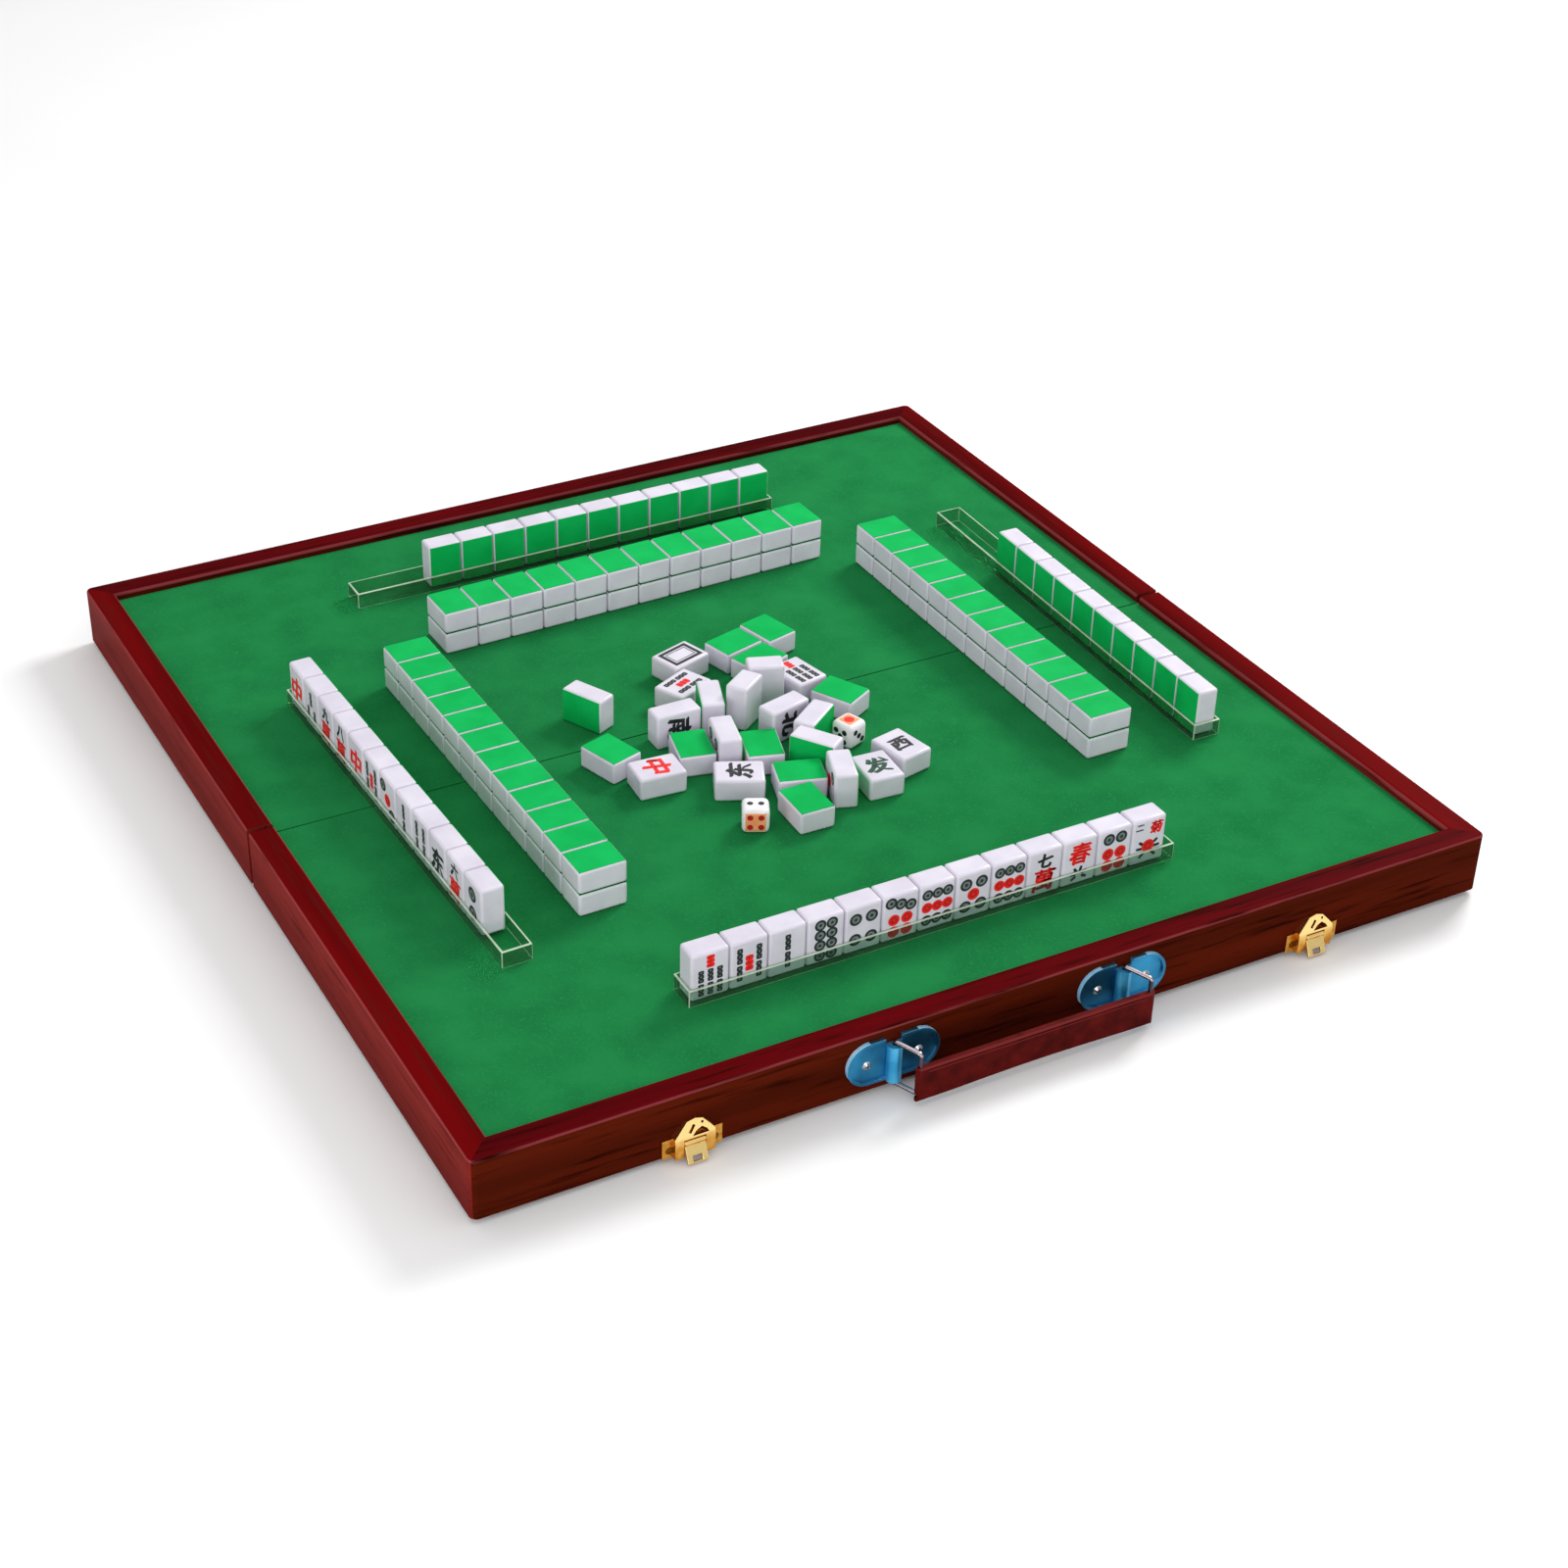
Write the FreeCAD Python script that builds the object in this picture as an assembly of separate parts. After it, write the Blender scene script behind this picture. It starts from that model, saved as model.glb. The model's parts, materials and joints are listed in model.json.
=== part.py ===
"""Portable mahjong table: two shallow folding trays with felt tops, latches,
a swinging handle, four clear racks, three tile walls, a heap and two dice.
Sizes are in millimetres, +Z is up, and the fold line runs along X."""
import math
import os

import FreeCAD
import Part

os.makedirs("parts", exist_ok=True)

# Playing set: one tile size rules the racks, the walls and the heap.
tile_length = 28.0
tile_width = 21.4
tile_thickness = 13.8
tile_back = 0.8
tile_pitch = 21.6
tile_chamfer = 0.7
die_side = 16.0
die_chamfer = 2.0

# Tray shell: each half is an open box that stands with its felt side up.
table_width = 590.0
table_depth = 598.0
wall_height = 35.0
rail_width = 15.0
felt_recess = 5.0
felt_thickness = 1.0
board_thickness = 5.0
groove_depth = 4.0
fold_gap = 3.5
felt_gap = 1.0
corner_radius = 4.0
outer_edge_radius = 1.5
inner_edge_radius = 2.5
overrun = 5.0

# Rubber pads: their height is also the gap between the folded halves.
pad_height = 3.0
pad_radius = 3.0
pad_inset = 11.0
near_pad_shares = (0.12, 0.9)
far_pad_shares = (0.2, 0.82)
near_end_pad_shares = (-0.3, 0.3)
far_end_pad_shares = (-0.44, 0.44)

# Butt hinges under the fold line.
hinge_share = 0.61
hinge_width = 60.0
hinge_leaf_reach = 13.0
hinge_leaf_thickness = 1.0
knuckle_radius = 1.4
knuckle_gap = 0.3
hinge_pin_radius = 0.6
running_clearance = 0.05
near_knuckles = (0, 2, 4)
far_knuckles = (1, 3)
hinge_screw_shares = (-0.35, 0.0, 0.35)
hinge_screw_reach_share = 0.6

# Wood screws: one shank for all, with a flush head and a raised head.
screw_radius = 1.2
screw_length = 10.0
flush_head_radius = 2.2
raised_head_radius = 2.6
raised_head_height = 1.2
drive_width = 0.7
drive_length = 3.2
drive_depth = 0.6

# Latch on the near front wall.
latch_share = 0.617
latch_width = 32.0
latch_ear_height = 11.0
latch_plate_thickness = 1.4
latch_screw_offset = 12.0
latch_screw_rise = 4.5
latch_arch_proud = 4.6
latch_arch_top_proud = 1.8
latch_arch_shell = 1.2
latch_arch_shares = (
    (-0.33, 0.0), (-0.33, 0.6), (-0.1, 0.96), (0.04, 1.0), (0.16, 0.95), (0.27, 0.76),
    (0.34, 0.62), (0.34, 0.0),
)
latch_arch_height = 20.0
latch_window_shares = ((-0.04, 0.58), (0.24, 0.58), (0.21, 0.67), (0.13, 0.76), (0.03, 0.69))
latch_slit_shares = ((-0.1, 0.69), (-0.06, 0.65), (0.03, 0.83), (-0.01, 0.87))
latch_eye_shares = (0.145, 0.86)
latch_eye_radius = 0.7
latch_mouth_height = 10.6
latch_cheek_width = 1.6
latch_cheek_bottom = 5.2
latch_cheek_top = 10.4
lever_width = 11.0
lever_thickness = 1.2
lever_length = 10.7
lever_barrel_radius = 1.6
lever_pin_radius = 0.9
lever_pivot_rise = 8.0
lever_pivot_proud = 3.5
lever_rest_angle = 24.0
lever_side_gap = 0.3
lever_window_width = 5.0
lever_window_near = 7.0
lever_window_far = 9.9

# Catch on the far back wall, which meets the latch when the halves are folded.
catch_width = 26.0
catch_height = 11.0
catch_thickness = 1.2
catch_screw_offset = 9.0
catch_screw_rise = 6.0
catch_horn_width = 8.0
catch_horn_end = 0.4
catch_nub_width = 3.2
catch_nub_height = 1.2
catch_nub_proud = 5.0

# Handle brackets, wire rings and the wrapped handle.
bracket_offset = 67.0
bracket_shift = -5.4
bracket_width = 52.0
bracket_bottom = 8.2
bracket_top = 33.2
bracket_depth = 2.4
bracket_sheet = 1.2
bracket_bead = 1.6
bracket_notch_width = 10.0
bracket_notch_bottom = 29.0
bracket_screw_offset = 14.5
bracket_screw_height = 19.6
channel_radius = 4.0
channel_bottom = 7.4
channel_top = 28.9
channel_proud = 2.4
ring_wire_radius = 1.2
ring_low = 5.9
ring_high = 30.4
ring_reach = 15.8
ring_bend = 1.3
ring_rest_angle = 22.5
handle_height = 20.0
handle_bottom = 2.9
handle_thickness = 5.0
handle_end = 2.5
handle_edge_radius = 1.6
handle_arch = 2.0
handle_slot_reach = 4.4
handle_slot_gap = 0.3

# Clear racks.
rack_length = 288.0
rack_height = 10.0
rack_wall = 1.5
rack_inner_width = 14.2
rack_floor = 1.5
rack_end_gap = 0.4

# Places on the felt from the middle of the fold line, across then away: the rows
# in half widths and half depths of the table, the dice in tile lengths.
front_rack_shares = (-0.0247, -0.7635)
left_rack_shares = (-0.7305, -0.0742)
right_rack_shares = (0.7725, -0.0067)
far_rack_shares = (-0.022, 0.7221)
left_wall_shares = (-0.5251, -0.0498)
right_wall_shares = (0.5586, -0.0217)
far_wall_shares = (0.0176, 0.4977)
die_a_shares = (-1.664, -3.964)
die_b_shares = (1.464, -2.121)

# Turns in degrees about Z; a row at zero runs along X with its faces towards -Y.
front_rack_angle = 0.0
left_rack_angle = -88.4
right_rack_angle = 88.7
far_rack_angle = 180.0
left_wall_angle = 90.8
right_wall_angle = 90.0
far_wall_angle = 1.3
die_a_angle = 63.4
die_b_angle = 20.0

# How many tiles stand in each rack and how many stacks make a wall.
front_rack_count = 13
left_rack_count = 12
right_rack_count = 10
far_rack_count = 11
wall_stacks = 12
wall_layers = 2

# A tile's length runs across its row in a wall.
quarter_turn = 90

# Heap in the middle: how each tile lies, its place in tile lengths, its turn.
heap_shares = (
    ("edge", -2.907, 0.900, 116.0), ("down", -3.257, -0.882, 107.0),
    ("up", -2.736, -1.879, -4.0), ("down", -1.718, -1.429, 77.0),
    ("edge", -1.079, -1.607, 256.0), ("edge", -1.636, -0.468, 0.0),
    ("up", -0.829, 0.725, 25.0), ("up", -0.357, 1.775, 18.0),
    ("edge", -0.707, -0.250, 70.0), ("stand", -0.043, -0.464, 35.0),
    ("down", 1.821, 1.957, 104.0), ("down", 0.893, 1.768, 15.0),
    ("down", 1.096, 0.975, 18.0), ("up", 1.525, 0.096, 102.0),
    ("down", 1.936, -0.950, 118.0), ("edge", 0.439, -1.257, 14.0),
    ("edge", 0.793, -1.861, 216.0), ("edge", 0.400, -2.668, 124.0),
    ("down", -0.468, -2.021, 73.0), ("up", -1.361, -2.732, -25.0),
    ("down", -0.289, -3.232, -17.0), ("down", -0.657, -4.161, 89.0),
    ("edge", 0.368, -3.743, 251.0), ("up", 1.982, -3.289, 102.0),
    ("up", 1.146, -3.768, 86.0), ("stand", 0.668, -0.029, -20.0),
)

# Levels and reaches that follow from the sizes above.
rim = pad_height
top = pad_height + wall_height
felt_top = top - felt_recess
board_top = felt_top - felt_thickness
board_bottom = board_top - board_thickness
half_width = table_width / 2
half_depth = table_depth / 2
fold_edge = fold_gap / 2
felt_edge = felt_gap / 2
fold_axis = pad_height / 2
rack_width = rack_inner_width + 2 * rack_wall
ring_side = ring_reach * math.sin(math.radians(ring_rest_angle))
ring_out = ring_reach * math.cos(math.radians(ring_rest_angle))
handle_proud = channel_proud + ring_out
handle_shift = bracket_shift + ring_side
front_reach = half_depth + handle_proud + handle_thickness / 2
back_reach = half_depth + catch_nub_proud
fold_line = (front_reach - back_reach) / 2
latch_x = latch_share * half_width
hinge_x = hinge_share * half_width
pivot_z = rim + lever_pivot_rise
pivot_y = half_depth + lever_pivot_proud
tiny = 1e-4 * tile_length

X = FreeCAD.Vector(1, 0, 0)
Y = FreeCAD.Vector(0, 1, 0)
Z = FreeCAD.Vector(0, 0, 1)


def vec(x, y, z):
    return FreeCAD.Vector(x, y, z)


def box(x0, x1, y0, y1, z0, z1):
    return Part.makeBox(x1 - x0, y1 - y0, z1 - z0, vec(x0, y0, z0))


def rod(radius, start, end):
    way = end.sub(start)
    return Part.makeCylinder(radius, way.Length, start, way)


def prism(points, way):
    """Extrude the flat outline through the points along the vector."""
    return Part.Face(Part.makePolygon(points + [points[0]])).extrude(way)


def fused(shapes):
    first = shapes[0]
    return first.multiFuse(shapes[1:]).removeSplitter() if len(shapes) > 1 else first


def save(name, shapes):
    """Write one node, moved so that the origin lies under the middle."""
    shape = Part.makeCompound(shapes) if len(shapes) > 1 else shapes[0].copy()
    shape.translate(vec(0, fold_line, 0))
    shape.exportStep("parts/" + name + ".step")


def mirrored_y(shape):
    """The far half repeats the near half across the fold line."""
    return shape.mirror(vec(0, 0, 0), Y)


def solids(shape):
    return list(shape.Solids)


def drilled(shape, screws):
    """Cut the room for each screw out of a piece."""
    for screw in screws:
        shape = shape.cut(screw)
    return shape


# Wooden trays

def stadium(x0, x1, y0, y1, z0, z1, radius):
    """A block whose two corners at the low Y end are rounded in plan."""
    block = box(x0, x1, y0, y1, z0, z1)
    edges = [e for e in block.Edges
             if abs(e.Vertexes[0].X - e.Vertexes[-1].X) < tiny
             and abs(e.Vertexes[0].Y - y0) < tiny and abs(e.Vertexes[-1].Y - y0) < tiny]
    return block.makeFillet(radius, edges)


def tray_frame():
    """Three outer walls in one U, with rounded corners and top edges."""
    outer = stadium(-half_width, half_width, -half_depth, -fold_edge, rim, top, corner_radius)
    inner = box(-half_width + rail_width, half_width - rail_width,
                -half_depth + rail_width, -fold_edge + overrun, rim - overrun, top + overrun)
    frame = outer.cut(inner)
    lip = [e for e in frame.Edges if all(abs(v.Z - top) < tiny for v in e.Vertexes)
           and not all(abs(v.Y + fold_edge) < tiny for v in e.Vertexes)]
    inside = half_width - rail_width + tiny
    inner_lip = [e for e in lip if all(abs(v.X) < inside for v in e.Vertexes)
                 and all(v.Y > -half_depth + rail_width - tiny for v in e.Vertexes)]
    outer_lip = [e for e in lip if not any(e.isSame(i) for i in inner_lip)]
    frame = frame.makeFillet(outer_edge_radius, outer_lip)
    lip = [e for e in frame.Edges if all(abs(v.Z - top) < tiny for v in e.Vertexes)
           and all(abs(v.X) < inside for v in e.Vertexes)
           and all(v.Y > -half_depth + rail_width - tiny for v in e.Vertexes)
           and not all(abs(v.Y + fold_edge) < tiny for v in e.Vertexes)]
    frame = frame.makeFillet(inner_edge_radius, lip)
    return frame.cut(board())


def board_blank(low, high, growth, edge):
    """Sheet that fills the tray up to an edge at the fold, grown into the grooves."""
    return box(-half_width + rail_width - growth, half_width - rail_width + growth,
               -half_depth + rail_width - growth, -edge, low, high)


def board():
    return board_blank(board_bottom, board_top, groove_depth, fold_edge)


def felt():
    return board_blank(board_top, felt_top, 0, felt_edge)


def mitre(side):
    """Wedge that holds one side wall up to the corner's diagonal."""
    outer = side * (half_width + overrun)
    reach = half_depth - fold_edge + overrun
    points = [vec(side * half_width, -half_depth, rim - overrun),
              vec(outer, -half_depth - overrun, rim - overrun),
              vec(outer, overrun, rim - overrun),
              vec(side * half_width - side * reach, overrun, rim - overrun),
              vec(side * half_width - side * reach, -half_depth + reach, rim - overrun)]
    return prism(points, vec(0, 0, wall_height + 2 * overrun))


def fold_rail():
    inset = half_width - rail_width
    return box(-inset, inset, -fold_edge - rail_width, -fold_edge, rim, board_bottom)


def leaf_screw_places():
    """Where the hinge screws stand, one row on each leaf."""
    y = -hinge_leaf_reach * hinge_screw_reach_share - fold_edge
    return [(side * hinge_x + share * hinge_width, y)
            for side in (-1, 1) for share in hinge_screw_shares]


def leaf_screws():
    low = rim - hinge_leaf_thickness
    made = []
    for x, y in leaf_screw_places():
        head = Part.makeCone(flush_head_radius, screw_radius, hinge_leaf_thickness, vec(x, y, low), Z)
        made.append(head.fuse(rod(screw_radius, vec(x, y, rim), vec(x, y, rim + screw_length))))
    return made


# Butt hinges

def knuckle_span(index):
    step = hinge_width / (len(near_knuckles) + len(far_knuckles))
    return (-hinge_width / 2 + index * step, -hinge_width / 2 + (index + 1) * step)


def hinge_leaf(x, mine, hole):
    """Leaf on the near side with its knuckles, drilled for the pin."""
    low = rim - hinge_leaf_thickness
    clear = knuckle_radius + knuckle_gap
    leaf = box(x - hinge_width / 2, x + hinge_width / 2, -hinge_leaf_reach - fold_edge, -clear, low, rim)
    pieces = [leaf]
    for index in mine:
        start, end = knuckle_span(index)
        start = x + start + knuckle_gap / 2
        end = x + end - knuckle_gap / 2
        pieces.append(box(start, end, -clear, 0, low, fold_axis + knuckle_radius))
        pieces.append(rod(knuckle_radius, vec(start, 0, fold_axis), vec(end, 0, fold_axis)))
    whole = fused(pieces)
    bore = rod(hole, vec(x - hinge_width, 0, fold_axis), vec(x + hinge_width, 0, fold_axis))
    return whole.cut(bore)


def hinge_pins():
    reach = hinge_width / 2 - knuckle_gap / 2
    return [rod(hinge_pin_radius, vec(side * hinge_x - reach, 0, fold_axis),
                vec(side * hinge_x + reach, 0, fold_axis)) for side in (-1, 1)]


# Pads, one shape for both halves

def pads(side_shares, end_shares):
    inset = half_width - pad_inset
    places = [(side * inset, -share * half_depth) for side in (-1, 1) for share in side_shares]
    places += [(share * half_width, -half_depth + pad_inset) for share in end_shares]
    return [rod(pad_radius, vec(x, y, 0), vec(x, y, rim)) for x, y in places]


# Screws into the front and back walls; out is -1 at the front, 1 at the back

def wall_screw(x, z, out, seat, flush):
    """Cross-head screw in a wall; seat is how proud the metal under it is."""
    face = out * half_depth
    way = vec(0, out, 0)
    shank = rod(screw_radius, vec(x, face - out * screw_length, z), vec(x, face + out * seat, z))
    if flush:
        head = Part.makeCone(screw_radius, flush_head_radius, seat, vec(x, face, z), way)
        return shank.fuse(head)
    start = face + out * seat
    head = Part.makeCone(raised_head_radius, screw_radius, raised_head_height, vec(x, start, z), way)
    end = start + out * raised_head_height
    deep = sorted((end, end - out * drive_depth))
    body = shank.fuse(head)
    for wide, tall in ((drive_length, drive_width), (drive_width, drive_length)):
        body = body.cut(box(x - wide / 2, x + wide / 2, deep[0], deep[1], z - tall / 2, z + tall / 2))
    return body


def latch_screws():
    return [wall_screw(side * latch_x + off, rim + latch_screw_rise, -1, latch_plate_thickness, True)
            for side in (-1, 1) for off in (-latch_screw_offset, latch_screw_offset)]


def catch_screws():
    return [wall_screw(side * latch_x + off, rim + catch_screw_rise, 1, catch_thickness, True)
            for side in (-1, 1) for off in (-catch_screw_offset, catch_screw_offset)]


def bracket_screws():
    return [wall_screw(bracket_x(side) + off, bracket_screw_height, -1, bracket_sheet, False)
            for side in (-1, 1) for off in (-bracket_screw_offset, bracket_screw_offset)]


# Latches

def latch_outline(shares, x, y, way):
    points = [vec(x + a * latch_width, y, rim + b * latch_arch_height) for a, b in shares]
    return prism(points, way)


def latch_profile(x, shell):
    """Side view of the arch: upright at the mouth, then leaning back to the wall."""
    wall = -half_depth
    knee = rim + latch_mouth_height
    peak = rim + latch_arch_height
    points = [vec(x - latch_width / 2, wall, rim - shell),
              vec(x - latch_width / 2, wall - latch_arch_proud + shell, rim - shell),
              vec(x - latch_width / 2, wall - latch_arch_proud + shell, knee),
              vec(x - latch_width / 2, wall - latch_arch_top_proud + shell, peak),
              vec(x - latch_width / 2, wall, peak)]
    return prism(points, vec(latch_width, 0, 0))


def latch_plate(x):
    """Ears and a hollow arch with cut-outs, open at the mouth for the lever."""
    wall = -half_depth
    front = wall - latch_arch_proud
    ears = box(x - latch_width / 2, x + latch_width / 2, wall - latch_plate_thickness, wall,
               rim, rim + latch_ear_height)
    block = latch_outline(latch_arch_shares, x, wall, vec(0, -latch_arch_proud, 0))
    arch = block.common(latch_profile(x, 0))
    slim = 1 - 2 * latch_arch_shell / latch_width / latch_arch_shares[-1][0]
    inner_shares = [(a * slim, b * slim) for a, b in latch_arch_shares]
    inside = vec(0, latch_plate_thickness - latch_arch_proud, 0)
    room = latch_outline(inner_shares, x, wall - latch_plate_thickness, inside)
    hollow = room.common(latch_profile(x, latch_arch_shell))
    cut_way = vec(0, latch_arch_shell + latch_arch_proud, 0)
    windows = [latch_outline(shares, x, front - latch_arch_shell, cut_way)
               for shares in (latch_window_shares, latch_slit_shares)]
    eye_x = x + latch_eye_shares[0] * latch_width
    eye = vec(eye_x, front - overrun, rim + latch_eye_shares[1] * latch_arch_height)
    windows.append(rod(latch_eye_radius, eye, eye.add(vec(0, overrun + latch_arch_proud, 0))))
    mouth_half = lever_width / 2 + lever_side_gap
    mouth = box(x - mouth_half, x + mouth_half, front - overrun, wall - latch_plate_thickness,
                rim - overrun, rim + latch_mouth_height)
    body = fused([ears, arch]).cut(hollow)
    for window in windows:
        body = body.cut(window)
    cheeks = [box(x + side * mouth_half if side > 0 else x - mouth_half - latch_cheek_width,
                  x + mouth_half + latch_cheek_width if side > 0 else x - mouth_half,
                  front + latch_arch_shell / 2, wall - latch_plate_thickness / 2,
                  rim + latch_cheek_bottom, rim + latch_cheek_top) for side in (-1, 1)]
    body = fused([body.cut(mouth)] + cheeks)
    return body.cut(latch_pin(x))


def latch_pin(x):
    reach = lever_width / 2 + lever_side_gap + latch_cheek_width
    return rod(lever_pin_radius, vec(x - reach, -pivot_y, pivot_z), vec(x + reach, -pivot_y, pivot_z))


def latch_lever(x):
    """Tongue with a window, hanging a little outwards from its pin."""
    half = lever_width / 2
    barrel = rod(lever_barrel_radius, vec(x - half, -pivot_y, pivot_z), vec(x + half, -pivot_y, pivot_z))
    tongue = box(x - half, x + half, -pivot_y - lever_thickness / 2, -pivot_y + lever_thickness / 2,
                 pivot_z - lever_length, pivot_z)
    body = fused([barrel, tongue])
    body = body.cut(rod(lever_pin_radius + running_clearance, vec(x - lever_width, -pivot_y, pivot_z),
                        vec(x + lever_width, -pivot_y, pivot_z)))
    window = box(x - lever_window_width / 2, x + lever_window_width / 2,
                 -pivot_y - lever_width, -pivot_y + lever_width,
                 pivot_z - lever_window_far, pivot_z - lever_window_near)
    body = body.cut(window)
    body.rotate(vec(x, -pivot_y, pivot_z), X, -lever_rest_angle)
    return body


def catch(x):
    """Plate on the far back wall with a horn and a nub for the lever's window."""
    wall = half_depth
    sheet = wall + catch_thickness
    half, horn_half, nub_half = catch_width / 2, catch_horn_width / 2, catch_nub_width / 2
    plate = box(x - half, x + half, wall, sheet, rim, rim + catch_height)
    horn = box(x - horn_half, x + horn_half, wall, sheet, catch_horn_end, rim)
    nub = box(x - nub_half, x + nub_half, wall, wall + catch_nub_proud,
              catch_horn_end, catch_horn_end + catch_nub_height)
    return fused([plate, horn, nub])


# Handle, brackets and rings

def bracket_x(side):
    """Middle of a bracket: the pair sits a little left of the table's middle."""
    return side * bracket_offset + bracket_shift


def rounded_plate(x, inset, y0, y1):
    """Flat plate with half-round ends, standing on the front wall."""
    low = bracket_bottom + inset
    high = bracket_top - inset
    radius = (high - low) / 2
    reach = bracket_width / 2 - inset - radius
    middle = (high + low) / 2
    bar = box(x - reach, x + reach, y0, y1, low, high)
    ends = [rod(radius, vec(end, y0, middle), vec(end, y1, middle)) for end in (x - reach, x + reach)]
    return fused([bar] + ends)


def bracket(x):
    """Beaded plate with a notch at the top and a bored half-round channel."""
    wall = -half_depth
    plate = rounded_plate(x, 0, wall - bracket_depth, wall)
    pocket = rounded_plate(x, bracket_bead, wall - bracket_depth - overrun, wall - bracket_sheet)
    notch = box(x - bracket_notch_width / 2, x + bracket_notch_width / 2, wall - overrun, wall + overrun,
                bracket_notch_bottom, bracket_top + overrun)
    axis_y = wall - channel_proud
    channel = rod(channel_radius, vec(x, axis_y, channel_bottom), vec(x, axis_y, channel_top))
    behind = box(x - bracket_width, x + bracket_width, wall, wall + bracket_width, 0, bracket_top + overrun)
    bore = rod(ring_wire_radius + running_clearance, vec(x, axis_y, 0), vec(x, axis_y, bracket_top))
    body = fused([plate.cut(pocket), channel]).cut(notch).cut(behind).cut(bore)
    return body


def wire_ring(x):
    """Bent wire loop: inner bar in the channel, outer bar in the handle."""
    inner = -half_depth - channel_proud
    outer = inner - ring_reach
    places = ((inner, ring_low), (outer, ring_low), (outer, ring_high), (inner, ring_high))
    corners = [vec(x, y, z) for y, z in places]
    path, last = [], None
    for before, corner, after in zip(corners[-1:] + corners[:-1], corners, corners[1:] + corners[:1]):
        back = before.sub(corner).normalize() * ring_bend
        ahead = after.sub(corner).normalize() * ring_bend
        centre = corner.add(back).add(ahead)
        middle = centre.add(corner.sub(centre).normalize() * ring_bend)
        if last:
            path.append(Part.makeLine(last, corner.add(back)))
        path.append(Part.Arc(corner.add(back), middle, corner.add(ahead)).toShape())
        last = corner.add(ahead)
    first = path[0].Vertexes[0].Point
    path.insert(0, Part.makeLine(last, first))
    wire = Part.Wire([Part.makeCircle(ring_wire_radius, last, first.sub(last))])
    ring = Part.Wire(path).makePipeShell([wire], True, False, 0)
    ring.rotate(vec(x, inner, 0), Z, ring_rest_angle)
    return ring


def handle():
    """Wrapped strap with rounded ends, bored and slotted for the rings."""
    y = -half_depth - handle_proud
    reach = bracket_offset + handle_end
    thick = handle_thickness / 2
    high = handle_bottom + handle_height
    ends = [rod(thick, vec(side * bracket_offset, y, handle_bottom),
                vec(side * bracket_offset, y, high)) for side in (-1, 1)]
    bar = box(-bracket_offset, bracket_offset, y - thick, y + thick, handle_bottom, high)
    body = fused([bar] + ends)
    section = box(-reach - overrun, reach + overrun, y - thick, y + thick, handle_bottom, high)
    long_edges = [e for e in section.Edges if abs(e.Vertexes[0].X - e.Vertexes[-1].X) > reach]
    body = body.common(section.makeFillet(handle_edge_radius, long_edges))
    span = bracket_offset - handle_slot_reach
    rise = (span * span + handle_arch * handle_arch) / (2 * handle_arch)
    centre = handle_bottom + handle_arch - rise
    body = body.cut(rod(rise, vec(0, y - handle_thickness, centre), vec(0, y + handle_thickness, centre)))
    slot_front = ring_wire_radius + handle_slot_gap
    slot_low = ring_low - slot_front
    slot_high = ring_low + slot_front
    for side in (-1, 1):
        x = side * bracket_offset
        body = body.cut(rod(ring_wire_radius + running_clearance, vec(x, y, slot_low),
                            vec(x, y, high + overrun)))
        slot = sorted((x - side * handle_slot_reach, side * (reach + overrun)))
        body = body.cut(box(slot[0], slot[1], y - slot_front, y + thick + overrun, slot_low, slot_high))
    body.translate(vec(handle_shift, 0, 0))
    return body


# Tiles, racks and walls

def chamfered(sx, sy, z0, z1, face_up):
    """Block whose edges on one flat side are chamfered at a mitre."""
    a, b, c = sx / 2, sy / 2, tile_chamfer
    low, high = (z0, z1 - c) if face_up else (z0 + c, z1)
    block = box(-a, a, -b, b, low, high)
    edge, tip = (high, z1) if face_up else (low, z0)
    turns = ((-1, -1), (1, -1), (1, 1), (-1, 1), (-1, -1))
    wide = Part.makePolygon([vec(i * a, j * b, edge) for i, j in turns])
    slim = Part.makePolygon([vec(i * (a - c), j * (b - c), tip) for i, j in turns])
    cap = Part.makeLoft([wide, slim], True, True)
    return block.fuse(cap).removeSplitter()


middle_z = tile_thickness / 2
tile_body_shape = chamfered(tile_length, tile_width, tile_back - middle_z, middle_z, True)
tile_back_shape = chamfered(tile_length, tile_width, -middle_z, tile_back - middle_z, False)

lie = {
    "up": (FreeCAD.Rotation(), tile_thickness / 2),
    "down": (FreeCAD.Rotation(X, 180), tile_thickness / 2),
    "edge": (FreeCAD.Rotation(X, 90), tile_width / 2),
    "stand": (FreeCAD.Rotation(Y, -90).multiply(FreeCAD.Rotation(X, 90)), tile_length / 2),
}


def tile(pose, x, y, z, turn):
    """One tile as a body and a back, standing on height z."""
    rotation, lift = lie[pose]
    turned = FreeCAD.Rotation(Z, turn).multiply(rotation)
    made = []
    for shape in (tile_body_shape, tile_back_shape):
        one = shape.copy()
        one.Placement = FreeCAD.Placement(vec(x, y, z + lift), turned)
        made.append(one)
    return made


def on_table(shares):
    """Middle of a row, from its shares of the half width and half depth."""
    return (shares[0] * half_width, shares[1] * half_depth)


def put(place, turn, along):
    """Point in the plan that lies along a turned row."""
    angle = math.radians(turn)
    return (place[0] + along * math.cos(angle), place[1] + along * math.sin(angle))


def rack(place, turn):
    half = rack_length / 2
    wide = rack_width / 2
    trough = box(-half, half, -wide, wide, felt_top, felt_top + rack_height)
    inside = box(-half + rack_wall, half - rack_wall, -rack_inner_width / 2, rack_inner_width / 2,
                 felt_top + rack_floor, felt_top + rack_height + overrun)
    body = trough.cut(inside)
    body.Placement = FreeCAD.Placement(vec(place[0], place[1], 0), FreeCAD.Rotation(Z, turn))
    return body


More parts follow.
